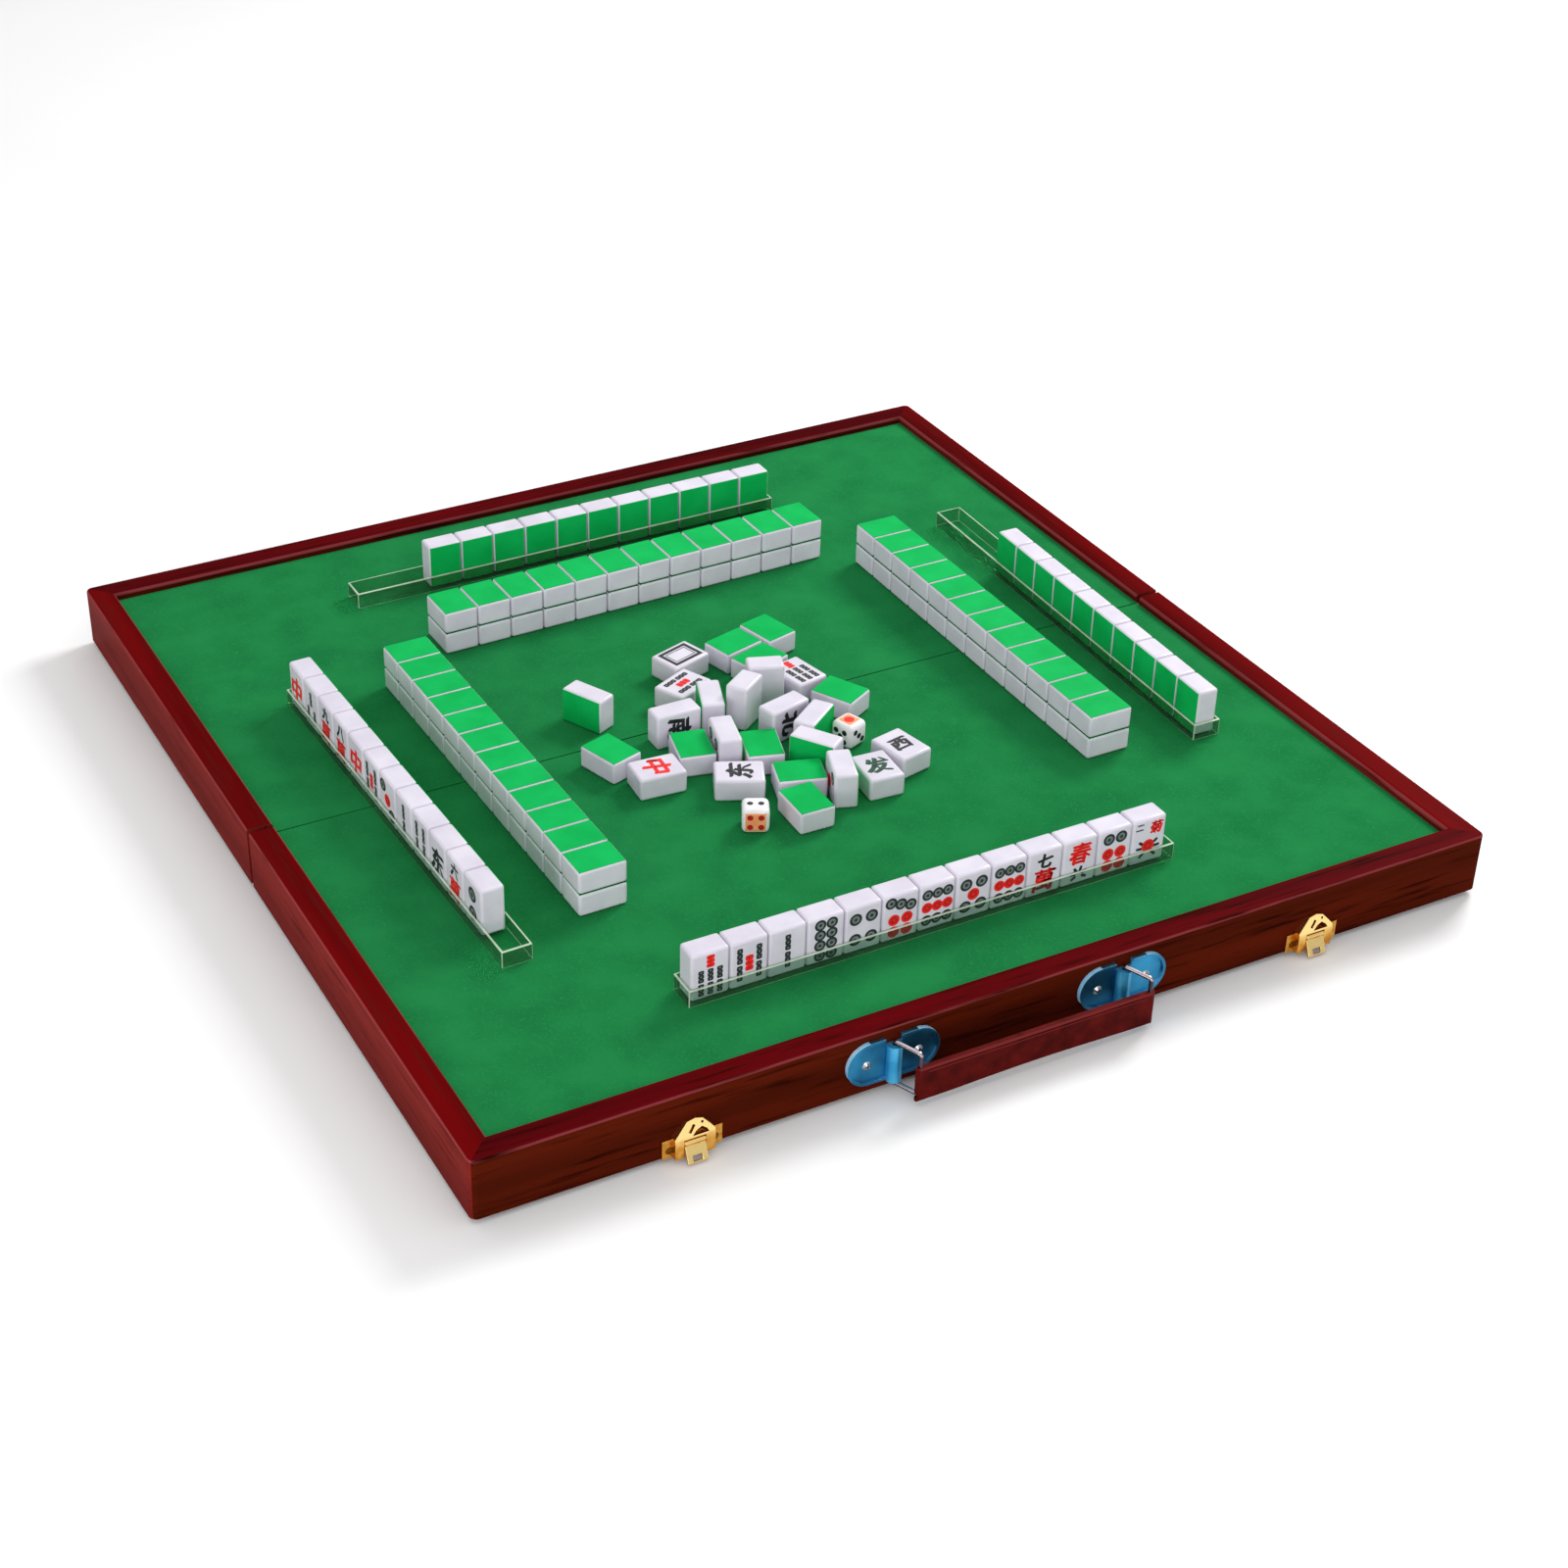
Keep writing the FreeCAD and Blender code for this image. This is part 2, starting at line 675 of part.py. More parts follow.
def rack_row(place, turn, count):
    """Upright tiles pushed against the low end of a rack."""
    first = tile_pitch / 2 + rack_end_gap + rack_wall - rack_length / 2
    bodies, backs = [], []
    for index in range(count):
        x, y = put(place, turn, first + index * tile_pitch)
        body, back = tile("stand", x, y, felt_top + rack_floor, turn)
        bodies.append(body)
        backs.append(back)
    return bodies, backs


def wall_row(place, turn):
    """Two layers of tiles lying face down, side by side."""
    bodies, backs = [], []
    for index in range(wall_stacks):
        along = (index - (wall_stacks - 1) / 2) * tile_pitch
        for layer in range(wall_layers):
            x, y = put(place, turn, along)
            body, back = tile("down", x, y, felt_top + layer * tile_thickness, turn + quarter_turn)
            bodies.append(body)
            backs.append(back)
    return bodies, backs


def heap():
    bodies, backs = [], []
    for pose, across, along, turn in heap_shares:
        body, back = tile(pose, across * tile_length, along * tile_length, felt_top, turn)
        bodies.append(body)
        backs.append(back)
    return bodies, backs


def die(shares, turn):
    cube = Part.makeBox(die_side, die_side, die_side)
    body = cube.makeChamfer(die_chamfer, cube.Edges)
    body.translate(vec(-die_side / 2, -die_side / 2, 0))
    middle = vec(shares[0] * tile_length, shares[1] * tile_length, felt_top)
    there = FreeCAD.Placement(middle, FreeCAD.Rotation(Z, turn))
    body.Placement = there.multiply(body.Placement)
    return body


# Build and write every node

frame = tray_frame()
left_wedge = mitre(-1)
right_wedge = mitre(1)
front_rail = frame.cut(left_wedge).cut(right_wedge)
side_rails = {"left": frame.common(left_wedge), "right": frame.common(right_wedge)}
near_front = drilled(front_rail, latch_screws() + bracket_screws())
far_back = drilled(front_rail, [mirrored_y(screw) for screw in catch_screws()])
cross = drilled(fold_rail(), leaf_screws())

save("near_front_rail", solids(near_front))
save("near_left_rail", solids(side_rails["left"]))
save("near_right_rail", solids(side_rails["right"]))
save("near_fold_rail", solids(cross))
save("near_board", [board()])
save("near_felt", [felt()])
save("far_back_rail", solids(mirrored_y(far_back)))
save("far_left_rail", solids(mirrored_y(side_rails["left"])))
save("far_right_rail", solids(mirrored_y(side_rails["right"])))
save("far_fold_rail", solids(mirrored_y(cross)))
save("far_board", [mirrored_y(board())])
save("far_felt", [mirrored_y(felt())])

near_leaves = [hinge_leaf(side * hinge_x, near_knuckles, hinge_pin_radius) for side in (-1, 1)]
far_leaves = [mirrored_y(hinge_leaf(side * hinge_x, far_knuckles,
                                    hinge_pin_radius + running_clearance)) for side in (-1, 1)]
far_screws = [mirrored_y(screw) for screw in leaf_screws()]
save("hinge_leaves_near", [drilled(leaf, leaf_screws()) for leaf in near_leaves])
save("hinge_leaves_far", [drilled(leaf, far_screws) for leaf in far_leaves])
save("hinge_pins", hinge_pins())
save("hinge_screws_near", leaf_screws())
save("hinge_screws_far", far_screws)
save("feet_near", pads(near_pad_shares, near_end_pad_shares))
save("feet_far", [mirrored_y(pad) for pad in pads(far_pad_shares, far_end_pad_shares)])

plates = [latch_plate(side * latch_x) for side in (-1, 1)]
catches = [catch(side * latch_x) for side in (-1, 1)]
save("latch_plates", [drilled(plate, latch_screws()) for plate in plates])
save("latch_pins", [latch_pin(side * latch_x) for side in (-1, 1)])
save("latch_screws", latch_screws())
save("latch_lever_left", [latch_lever(-latch_x)])
save("latch_lever_right", [latch_lever(latch_x)])
save("catches", [drilled(one, catch_screws()) for one in catches])
save("catch_screws", catch_screws())

for name, side in (("left", -1), ("right", 1)):
    save("bracket_" + name, solids(drilled(bracket(bracket_x(side)), bracket_screws())))
    save("ring_" + name, [wire_ring(bracket_x(side))])
save("bracket_screws", bracket_screws())
save("handle_strap", [handle()])

rack_rows = (
    ("front", front_rack_shares, front_rack_angle, front_rack_count),
    ("left", left_rack_shares, left_rack_angle, left_rack_count),
    ("right", right_rack_shares, right_rack_angle, right_rack_count),
    ("far", far_rack_shares, far_rack_angle, far_rack_count),
)
for name, shares, turn, count in rack_rows:
    place = on_table(shares)
    bodies, backs = rack_row(place, turn, count)
    save("rack_" + name, [rack(place, turn)])
    save("rack_tiles_" + name, bodies)
    save("rack_backs_" + name, backs)

wall_rows = (
    ("left", left_wall_shares, left_wall_angle),
    ("right", right_wall_shares, right_wall_angle),
    ("far", far_wall_shares, far_wall_angle),
)
for name, shares, turn in wall_rows:
    bodies, backs = wall_row(on_table(shares), turn)
    save("wall_tiles_" + name, bodies)
    save("wall_backs_" + name, backs)

bodies, backs = heap()
save("heap_tiles", bodies)
save("heap_backs", backs)
save("die_a", [die(die_a_shares, die_a_angle)])
save("die_b", [die(die_b_shares, die_b_angle)])
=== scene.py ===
# %% [markdown]
# # A portable mahjong table
#
# The table is a flat wooden case that opens like a folding chess board. Its two
# shallow trays carry green felt on the outside, and on the felt stand four clear
# racks of tiles, three walls of stacked tiles, a heap and two dice.
#
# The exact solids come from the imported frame. This lesson dresses them: it gives
# each one a finish, and where a solid is too plain, it builds a finer piece that
# stands for it.

# %% Load the frame
import json
import math

import bmesh
import bpy
from mathutils import Euler, Matrix, Vector


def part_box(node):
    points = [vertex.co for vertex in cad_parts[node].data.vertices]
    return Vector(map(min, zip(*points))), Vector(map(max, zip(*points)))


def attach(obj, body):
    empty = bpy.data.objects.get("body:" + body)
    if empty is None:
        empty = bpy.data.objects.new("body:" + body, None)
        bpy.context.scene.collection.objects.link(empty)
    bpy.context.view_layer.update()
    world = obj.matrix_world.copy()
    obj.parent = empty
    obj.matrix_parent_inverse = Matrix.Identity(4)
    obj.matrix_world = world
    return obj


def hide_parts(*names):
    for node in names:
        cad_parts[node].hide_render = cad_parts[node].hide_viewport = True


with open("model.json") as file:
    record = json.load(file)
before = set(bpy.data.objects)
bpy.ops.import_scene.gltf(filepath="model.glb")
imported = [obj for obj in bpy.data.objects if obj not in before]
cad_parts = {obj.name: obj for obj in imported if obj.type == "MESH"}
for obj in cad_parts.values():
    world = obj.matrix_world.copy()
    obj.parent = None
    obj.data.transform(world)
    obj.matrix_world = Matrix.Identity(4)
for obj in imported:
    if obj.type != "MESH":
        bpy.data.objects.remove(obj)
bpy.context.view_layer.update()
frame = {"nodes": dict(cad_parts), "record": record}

mm = 0.001
bodies = frame["record"]["behaviour"]["bodies"]
body_of = {node: body for body, nodes in bodies.items() for node in nodes}
print("nodes:", len(frame["nodes"]), "bodies:", len(bodies))

# %% [markdown]
# ## Small helpers
#
# A shader is a handful of nodes, so one function adds a node with its settings and
# its inputs, and a linked input is simply another node's output. Colours are
# written as they look on a screen and turned to the linear values that light needs.

# %% Colours and nodes


def colour(code):
    """Screen colour such as '1fb25a' as linear red, green, blue and alpha."""
    shares = [int(code[i:i + 2], 16) / 255 for i in (0, 2, 4)]
    return tuple(s / 12.92 if s <= 0.04045 else ((s + 0.055) / 1.055) ** 2.4 for s in shares) + (1.0,)


def add(tree, kind, inputs=None, **settings):
    """Add one node; inputs are values or other nodes' outputs."""
    node = tree.nodes.new(kind)
    for key, value in settings.items():
        setattr(node, key, value)
    for key, value in (inputs or {}).items():
        if isinstance(value, bpy.types.NodeSocket):
            tree.links.new(value, node.inputs[key])
        else:
            node.inputs[key].default_value = value
    return node


def per(size):
    """Noise scale that gives features of this size in millimetres."""
    return 1 / (size * mm)


print("white is", colour("ffffff")[:3])

# %% [markdown]
# ## Finishes
#
# Every finish here is a Principled shader with a slow or fine noise in its colour,
# because nothing real has one flat colour, and often a bump. The noise reads Object
# coordinates in metres, so each pattern has a true size in millimetres. A second,
# finer noise may lay flecks over the first, such as the pores of wood. A finish may
# also paint light and shade: its own colours for faces that look up, lighter or darker
# as the light falls on them, and a colour for the rounded edge under them, most often
# a painted highlight.

# %% Noise and colour drift


def share_between(tree, value, low, high):
    """A value stretched so that low gives 0 and high gives 1."""
    return add(tree, "ShaderNodeMapRange", {"Value": value, "From Min": low, "From Max": high})


def noise_share(tree, mapped, size, low, high):
    """Noise of this size in millimetres, stretched to run from 0 to 1."""
    noise = add(tree, "ShaderNodeTexNoise", {"Vector": mapped.outputs[0], "Scale": per(size), "Detail": 4.0})
    return share_between(tree, noise.outputs[0], low, high)


def blend_colours(tree, share, first, second):
    """Mix of two colours, each a hex code or another mix."""
    mixed = add(tree, "ShaderNodeMix", data_type="RGBA")
    tree.links.new(share.outputs[0], mixed.inputs["Factor"])
    for socket, given in ((mixed.inputs[6], first), (mixed.inputs[7], second)):
        if isinstance(given, str):
            socket.default_value = colour(given)
        else:
            tree.links.new(given.outputs[2], socket)
    return mixed


print("noise scale for 5 mm:", per(5))

# %% Painted light and shade by the way a face looks
looks_up = (0.5, 0.9)
edge_share = (0.08, 0.2)


def lit_colours(tree, normal, drift, mixed, above, arris):
    """Paint light or shade: faces that look up get a pair of colours, and the rounding below them a third."""
    upright = add(tree, "ShaderNodeSeparateXYZ", {"Vector": normal})
    facing_up = share_between(tree, upright.outputs[2], *looks_up)
    mixed = blend_colours(tree, facing_up, mixed, blend_colours(tree, drift, *above))
    rest = add(tree, "ShaderNodeMath", {0: 1.0, 1: upright.outputs[2]}, operation="SUBTRACT")
    both = add(tree, "ShaderNodeMath", {0: rest.outputs[0], 1: upright.outputs[2]}, operation="MULTIPLY")
    on_edge = share_between(tree, both.outputs[0], *edge_share)
    return blend_colours(tree, on_edge, mixed, arris)


print("a face looks up from a normal z of", looks_up[0])

# %% One recipe for a finish
drift_reach = (0.32, 0.68)
fleck_reach = (0.54, 0.72)


def finish(name, dark, light, grain, stretch=(1, 1, 1), bump=0.0, bump_grain=None, fleck=None,
           above=None, arris=None, **shader_inputs):
    """Material whose colour drifts between two hex colours over grain millimetres.

    fleck is a hex colour and a size. above is a pair of hex colours painted on faces
    that look up, as painted light on some finishes and painted shade on others, and
    arris is a hex colour painted on the rounded edge between a side and a top, most
    often as a painted highlight.
    """
    material = bpy.data.materials.new(name)
    material.use_nodes = True
    tree = material.node_tree
    tree.nodes.clear()
    place = add(tree, "ShaderNodeTexCoord")
    mapped = add(tree, "ShaderNodeMapping", {"Vector": place.outputs["Object"], "Scale": stretch})
    drift = noise_share(tree, mapped, grain, *drift_reach)
    mixed = blend_colours(tree, drift, dark, light)
    if above:
        mixed = lit_colours(tree, place.outputs["Normal"], drift, mixed, above, arris)
    if fleck:
        mixed = blend_colours(tree, noise_share(tree, mapped, fleck[1], *fleck_reach), mixed, fleck[0])
    shader = add(tree, "ShaderNodeBsdfPrincipled", shader_inputs)
    tree.links.new(mixed.outputs[2], shader.inputs["Base Color"])
    if bump:
        fine = add(tree, "ShaderNodeTexNoise",
                   {"Vector": mapped.outputs[0], "Scale": per(bump_grain or grain), "Detail": 3.0})
        raised = add(tree, "ShaderNodeBump", {"Height": fine.outputs[0], "Distance": bump * mm})
        tree.links.new(raised.outputs[0], shader.inputs["Normal"])
    add(tree, "ShaderNodeOutputMaterial", {"Surface": shader.outputs[0]})
    return material


print("colours drift between noise values", drift_reach)

# %% [markdown]
# The case is solid wood under cherry-red lacquer: dark, with soft streaks along the
# rail, darker pores and hardly any gloss. Streaks are noise that is stretched along
# one axis. The tops of the rails are painted a deeper, cleaner red than their sides,
# as painted light and shade, and their rounded outer edges a paler red, as a painted
# highlight. The side rails are painted a lighter red than the front and back rails,
# as painted light for their lit left sides. The boards under the felt are plywood,
# painted near black where they look up, as painted shade in the gaps beside the felt.

# %% Lacquered rails
lacquer = {"Roughness": 0.4, "Specular IOR Level": 0.003, "bump": 0.03, "bump_grain": 5}
# Front and back rails: above paints the tops a deeper red as painted light and shade, and arris paints a paler
# outer edge as a painted highlight.
cherry_across = finish("cherry_lacquer_across", "380e05", "521708", 18, (0.05, 1, 1), fleck=("240602", 2.4),
                       above=("44060a", "64070c"), arris="7a3236", **lacquer)
# Side rails: painted a lighter red as painted light for their lit left sides, with the same painted top and edge.
cherry_along = finish("cherry_lacquer_along", "641b18", "7c2622", 18, (1, 0.05, 1), fleck=("52120f", 2.4),
                      above=("4c0507", "6c0709"), arris="8c3a3c", **lacquer)
# above paints the plywood tops near black: painted shade in the gaps beside the felt.
plywood = finish("birch_plywood", "a9814f", "c9a673", 12, (0.08, 1, 1), bump=0.05, bump_grain=4,
                 fleck=("8a6538", 1.6), above=("120806", "1c0d09"), arris="5a3f28", Roughness=0.6)
print("wood finishes:", cherry_across.name, cherry_along.name, plywood.name)

# %% [markdown]
# The playing surface is needle felt, a mat of wool-like fibres about a third of a
# millimetre apart. It scatters light softly, so it gets no gloss, a faint green
# sheen, a fine bump and soft clouds where the nap lies differently. The fibres are
# drawn coarser than they are, or they wouldn't show.

# %% Felt
felt = finish("green_needle_felt", "1a703b", "217e44", 30, bump=0.12, bump_grain=0.9, fleck=("238047", 1.4),
              Roughness=1.0, **{"Sheen Weight": 0.04, "Sheen Roughness": 0.6, "Sheen Tint": colour("4fbf75"),
                                "Specular IOR Level": 0.0})
print("felt:", felt.name)

# %% [markdown]
# Tiles are polished melamine resin: an off-white block with a green inlay on its
# back, and ink in the engraved marks. Dice are the same resin, a little whiter.

# %% Tile, ink and die finishes
resin = {"Roughness": 0.3, "Specular IOR Level": 0.3, "Coat Weight": 0.08, "Coat Roughness": 0.08}
satin = {"Roughness": 0.45, "Specular IOR Level": 0.03}
tile_white = finish("white_melamine", "d2ccda", "ded9e5", 18, **resin)
tile_green = finish("green_melamine", "0aa84f", "12b65a", 20, **satin)
inks = {
    ink: finish(name, dark, light, 3, Roughness=roughness) for ink, name, dark, light, roughness in (
        ("dark", "black_ink", "14181c", "23292c", 0.5), ("red", "red_ink", "e2040e", "f41a18", 0.5),
        ("green", "green_ink", "0b3a24", "12543a", 0.5), ("grey", "grey_ink", "636b6c", "7f8788", 0.5),
        ("deep", "deep_red_ink", "ad0710", "c51016", 0.5), ("orange", "orange_stain", "ff9560", "ffac78", 0.4))
}
die_white = finish("white_resin", "e9e4ea", "f7f4f6", 8, **resin)
# Painted shade for the dark sheets between the layers of a wall.
painted_gap_shade = finish("shadow_gap", "0b1a17", "14231f", 3, Roughness=0.9, **{"Specular IOR Level": 0.0})
print("inks:", sorted(inks))

# %% [markdown]
# Racks are clear cast acrylic, bent to a trough. The sheet is so thin that it hardly
# bends the view, so it transmits at an IOR of 1. Its outer faces carry a green-grey
# tint and a slight milkiness, its inner faces hardly any. Its sawn rims and the
# rounded outer edges are painted a pale yellow-green, a painted glow that stands for
# the light that runs along inside the sheet.

# %% Acrylic
clear = {"IOR": 1.0, "Roughness": 0.0}
acrylic = finish("clear_cast_acrylic", "8fb09c", "a0beaa", 30, **clear, **{"Transmission Weight": 0.95})
acrylic_inside = finish("acrylic_inner_face", "f0f6f2", "f8fcf9", 30, **clear, **{"Transmission Weight": 1.0})
# The rims are painted pale yellow-green: a painted glow.
acrylic_rim = finish("acrylic_rim", "b4c6ae", "d6e3cf", 12, Roughness=0.2, **{"Alpha": 0.8})
print("acrylic:", acrylic.name, acrylic_inside.name, acrylic_rim.name)

# %% [markdown]
# The fittings are plated steel: golden latches, blue mirror-bright brackets, and
# plain bright screws and rings. The latches, brackets, rings and handle are painted
# paler on faces that look up and on rounded edges, as painted highlights, and the
# screws of the latches and catches are painted a dark gold, as painted shade. The
# handle is a strap wrapped in dark red leatherette, and the pads and hinge parts sit
# out of sight below.

# %% Fittings
# above and arris paint the gold paler on faces that look up and on rounded edges: painted highlights.
gold = finish("gold_plated_steel", "cb7f22", "f4c05c", 5, bump=0.03, bump_grain=3,
              above=("e2962c", "f9cc6a"), arris="fbdc90", Metallic=1.0, Roughness=0.24)
# The latch and catch screws are painted a dark gold: painted shade for their dark recesses.
shaded_gold_screw = finish("gold_screw_head", "6a4210", "8f5e1c", 2, Metallic=1.0, Roughness=0.4)
# above and arris paint the blue plate paler on faces that look up and on rounded edges: painted highlights.
blue_chrome = finish("blue_plated_steel", "1a5880", "3896c4", 22,
                     above=("4aa6d0", "7cc8ea"), arris="bfe6f8", Metallic=1.0, Roughness=0.34)
# Painted highlights: a clearer blue stripe down the bracket ridge and a pale line on the rounded bead.
blue_ridge_highlight = finish("blue_plated_ridge", "2c97cc", "58bde8", 12, Metallic=0.6, Roughness=0.3)
blue_bead_highlight = finish("blue_plated_bead", "7cbfe8", "b4def6", 6, Metallic=0.1, Roughness=0.35)
# The rings are dark chrome, painted pale on faces that look up and on rounded edges: painted highlights.
bright_chrome = finish("bright_chrome", "3c3238", "5c4e54", 8,
                       above=("d8cacc", "f2e8ea"), arris="a3959a", Metallic=1.0, Roughness=0.2)
steel = finish("zinc_plated_steel", "a9abb0", "c9cbd0", 4, bump=0.02, bump_grain=1, Metallic=1.0, Roughness=0.32)
brass = finish("pressed_brass", "a9823a", "c59c4d", 6, bump=0.02, bump_grain=2, Metallic=1.0, Roughness=0.3)
# Painted shade for the dark crosses in the screw heads.
painted_recess_shade = finish("dark_recess", "17161a", "2a282c", 1, Roughness=0.6)
rubber = finish("black_rubber", "17181a", "242527", 3, bump=0.05, bump_grain=0.8, Roughness=0.85)
# above and arris paint the leatherette lighter on faces that look up and on the rounded upper edge: painted
# highlights.
leatherette = finish("oxblood_leatherette", "3c0908", "5a110e", 9, bump=0.06, bump_grain=0.9,
                     above=("4c100e", "641915"), arris="70292a", Roughness=0.45, **{"Specular IOR Level": 0.02})
print("fittings:", gold.name, blue_chrome.name, bright_chrome.name)

# %% [markdown]
# ## Dressing the solids
#
# Most fittings are right as they are, and only need their finish. The straight
# grain of a rail follows its length, so the front and back rails take one wood and
# the side rails the other, which is also painted a lighter red as painted light.

# %% Finish for each node
dress = {
    cherry_across: ["near_front_rail", "near_fold_rail", "far_back_rail", "far_fold_rail"],
    cherry_along: ["near_left_rail", "near_right_rail", "far_left_rail", "far_right_rail"],
    plywood: ["near_board", "far_board"],
    felt: ["near_felt", "far_felt"],
    brass: ["hinge_leaves_near", "hinge_leaves_far"],
    steel: ["hinge_pins", "hinge_screws_near", "hinge_screws_far", "bracket_screws"],
    rubber: ["feet_near", "feet_far"],
    gold: ["latch_pins"],
    shaded_gold_screw: ["latch_screws", "catch_screws"],
    bright_chrome: ["ring_left", "ring_right"],
}


def paint(obj, material):
    """Give a mesh one finish on all its faces."""
    obj.data.materials.clear()
    obj.data.materials.append(material)


for material, names in dress.items():
    for name in names:
        paint(frame["nodes"][name], material)
print("dressed nodes:", sum(len(names) for names in dress.values()))

# %% [markdown]
# ## Finding the tiles
#
# The solids already say where each tile stands. A node's mesh is split into its
# loose parts; a tile's face points from its back's middle to its body's middle, and
# its edges show which way its length and its width run. From these three facts
# comes one matrix for each tile: X across the face, Y up it, Z out of it.

# %% Tile sizes and merged corners
tile_length = 28.0 * mm
tile_width = 21.4 * mm
tile_thickness = 13.8 * mm
tile_inlay = 0.8 * mm


def merged(node):
    """Bmesh of a node with its doubled corners merged."""
    made = bmesh.new()
    made.from_mesh(frame["nodes"][node].data)
    bmesh.ops.remove_doubles(made, verts=made.verts, dist=0.001 * mm)
    return made


print("corners in the heap:", len(merged("heap_tiles").verts))

# %% Loose parts of a solid


def loose_parts(node):
    """Corner points and edges of each separate solid in a node."""
    made = merged(node)
    seen, parts = set(), []
    for start in made.verts:
        if start in seen:
            continue
        seen.add(start)
        group = [start]
        for vert in group:
            fresh = {edge.other_vert(vert) for edge in vert.link_edges} - seen
            seen |= fresh
            group += sorted(fresh, key=lambda other: other.index)
        points = [vert.co.copy() for vert in group]
        edges = sorted({edge for vert in group for edge in vert.link_edges}, key=lambda edge: edge.index)
        ways = [edge.verts[1].co - edge.verts[0].co for edge in edges]
        parts.append((points, ways))
    made.free()
    return parts


def reach(points):
    """Lowest and highest corner of the box around some points."""
    return [Vector([pick(axis) for axis in zip(*points)]) for pick in (min, max)]


def middle(points):
    """Centre of the box around some points."""
    low, high = reach(points)
    return (low + high) / 2


print("heap tiles found:", len(loose_parts("heap_tiles")))

# %% Which way a tile lies
length_error = 0.05 * mm
stack_error = 0.3 * mm
rough_up = Vector((0.2, 0.6, 0.8))
rough_right = Vector((1, 0.1, 0.2))


def along_edge(ways, length, towards):
    """Direction of the edges of one length that point most nearly one way."""
    found = [way for way in ways if abs(way.length - length) < length_error]
    way = max(found, key=lambda way: abs(way.normalized().dot(towards))).normalized()
    return way if way.dot(towards) > 0 else -way


def own_back(centre, backs):
    """The back that belongs to a body: the nearest, and the upper one in a stack."""
    gaps = [(middle(back) - centre).length for back in backs]
    close = [back for back, gap in zip(backs, gaps) if gap < min(gaps) + stack_error]
    return max(close, key=lambda back: middle(back).z)


print("a tile's length is told to", length_error / mm, "mm")

# %% One matrix for each tile


def tile_places(bodies_node, backs_node):
    """Matrices of a node's tiles, in order across and then away."""
    backs = [points for points, ways in loose_parts(backs_node)]
    places = []
    for points, ways in loose_parts(bodies_node):
        centre = middle(points)
        back = own_back(centre, backs)
        up = along_edge(ways, tile_length, rough_up)
        right = along_edge(ways, tile_width, rough_right)
        face = right.cross(up).normalized()
        if face.dot(centre - middle(back)) < 0:
            face = -face
        right = up.cross(face).normalized()
        whole = points + back
        spot = Vector()
        for axis in (right, up, face):
            along = [point.dot(axis) for point in whole]
            spot += axis * (min(along) + max(along)) / 2
        turn = Matrix((right, up, face)).transposed()
        places.append(Matrix.Translation(spot) @ turn.to_4x4())
    return sorted(places, key=lambda m: (round(m.translation.x, 4), round(m.translation.y, 4)))


rack_sides = ("front", "left", "right", "far")
wall_sides = ("left", "right", "far")
sets = {kind + "_" + side: (kind + "_tiles_" + side, kind + "_backs_" + side)
        for kind, sides in (("rack", rack_sides), ("wall", wall_sides)) for side in sides}
sets["heap"] = ("heap_tiles", "heap_backs")
places = {name: tile_places(*pair) for name, pair in sets.items()}
print("tiles in each set:", {name: len(found) for name, found in places.items()})

# %% [markdown]
# ## The rounded tile
#
# A real tile is tumbled until its edges are soft, and its green back is an inlay
# that leaves a narrow white rim. A bevel rounds a box for the body, and a second,
# thin box is the inlay. The flat faces stay flat shaded and only the rounding is
# smooth, so the light turns at the edge. Each tile is a little smaller than its
# place, because the dark gaps between real tiles are what tells them apart.

# %% Making a rounded block


def rounded_block(size, rounding, segments):
    """Bmesh of a box with all its edges rounded."""
    made = bmesh.new()
    bmesh.ops.create_cube(made, size=1.0)
    bmesh.ops.scale(made, vec=size, verts=made.verts)
    bmesh.ops.bevel(made, geom=made.edges[:], offset=rounding, segments=segments, profile=0.5,
                    affect="EDGES", clamp_overlap=True)
    for face in made.faces:
        face.smooth = max(abs(axis) for axis in face.normal) < 0.9999
    return made


def linked(name, data):
    """New object in the scene that shows a mesh, a light or a camera."""
    obj = bpy.data.objects.new(name, data)
    bpy.context.collection.objects.link(obj)
    return obj


def as_object(name, made):
    """Turn a bmesh into a linked object."""
    mesh = bpy.data.meshes.new(name)
    made.to_mesh(mesh)
    made.free()
    return linked(name, mesh)


def joined(name, parts):
    """One object of several bmeshes."""
    whole = bmesh.new()
    for part in parts:
        mesh = bpy.data.meshes.new(name)
        part.to_mesh(mesh)
        part.free()
        whole.from_mesh(mesh)
        bpy.data.meshes.remove(mesh)
    return as_object(name, whole)


print("faces of a rounded block:", len(rounded_block((1, 1, 1), 0.1, 3).faces))

# %% Body and inlay
tile_rounding = 1.6 * mm
tile_play = 0.2 * mm
layer_play = 0.4 * mm
inlay_rim = 0.8 * mm
inlay_rounding = 0.15 * mm
inlay_proud = 0.02 * mm
tile_size = (tile_width - tile_play, tile_length - tile_play, tile_thickness - layer_play)
tile_body = as_object("tile_body", rounded_block(tile_size, tile_rounding, 3))
plate = rounded_block((tile_width - 2 * inlay_rim, tile_length - 2 * inlay_rim, tile_inlay), inlay_rounding, 1)
back_level = (tile_inlay - tile_size[2]) / 2 - inlay_proud
bmesh.ops.translate(plate, vec=(0, 0, back_level), verts=plate.verts)
tile_slab = as_object("tile_slab", plate)
print("faces in one tile:", len(tile_body.data.polygons) + len(tile_slab.data.polygons))

# %% [markdown]
# ## Repeating a piece
#
# A tile appears 144 times, so Geometry Nodes set it out: a cloud of points carries
# each place and turn, and the tree puts one tile on each point. The tree ends in
# Realize Instances and Set Material, because the export keeps only real meshes, and
# the result is then made a plain mesh without a modifier.

# %% A tree that sets out one piece


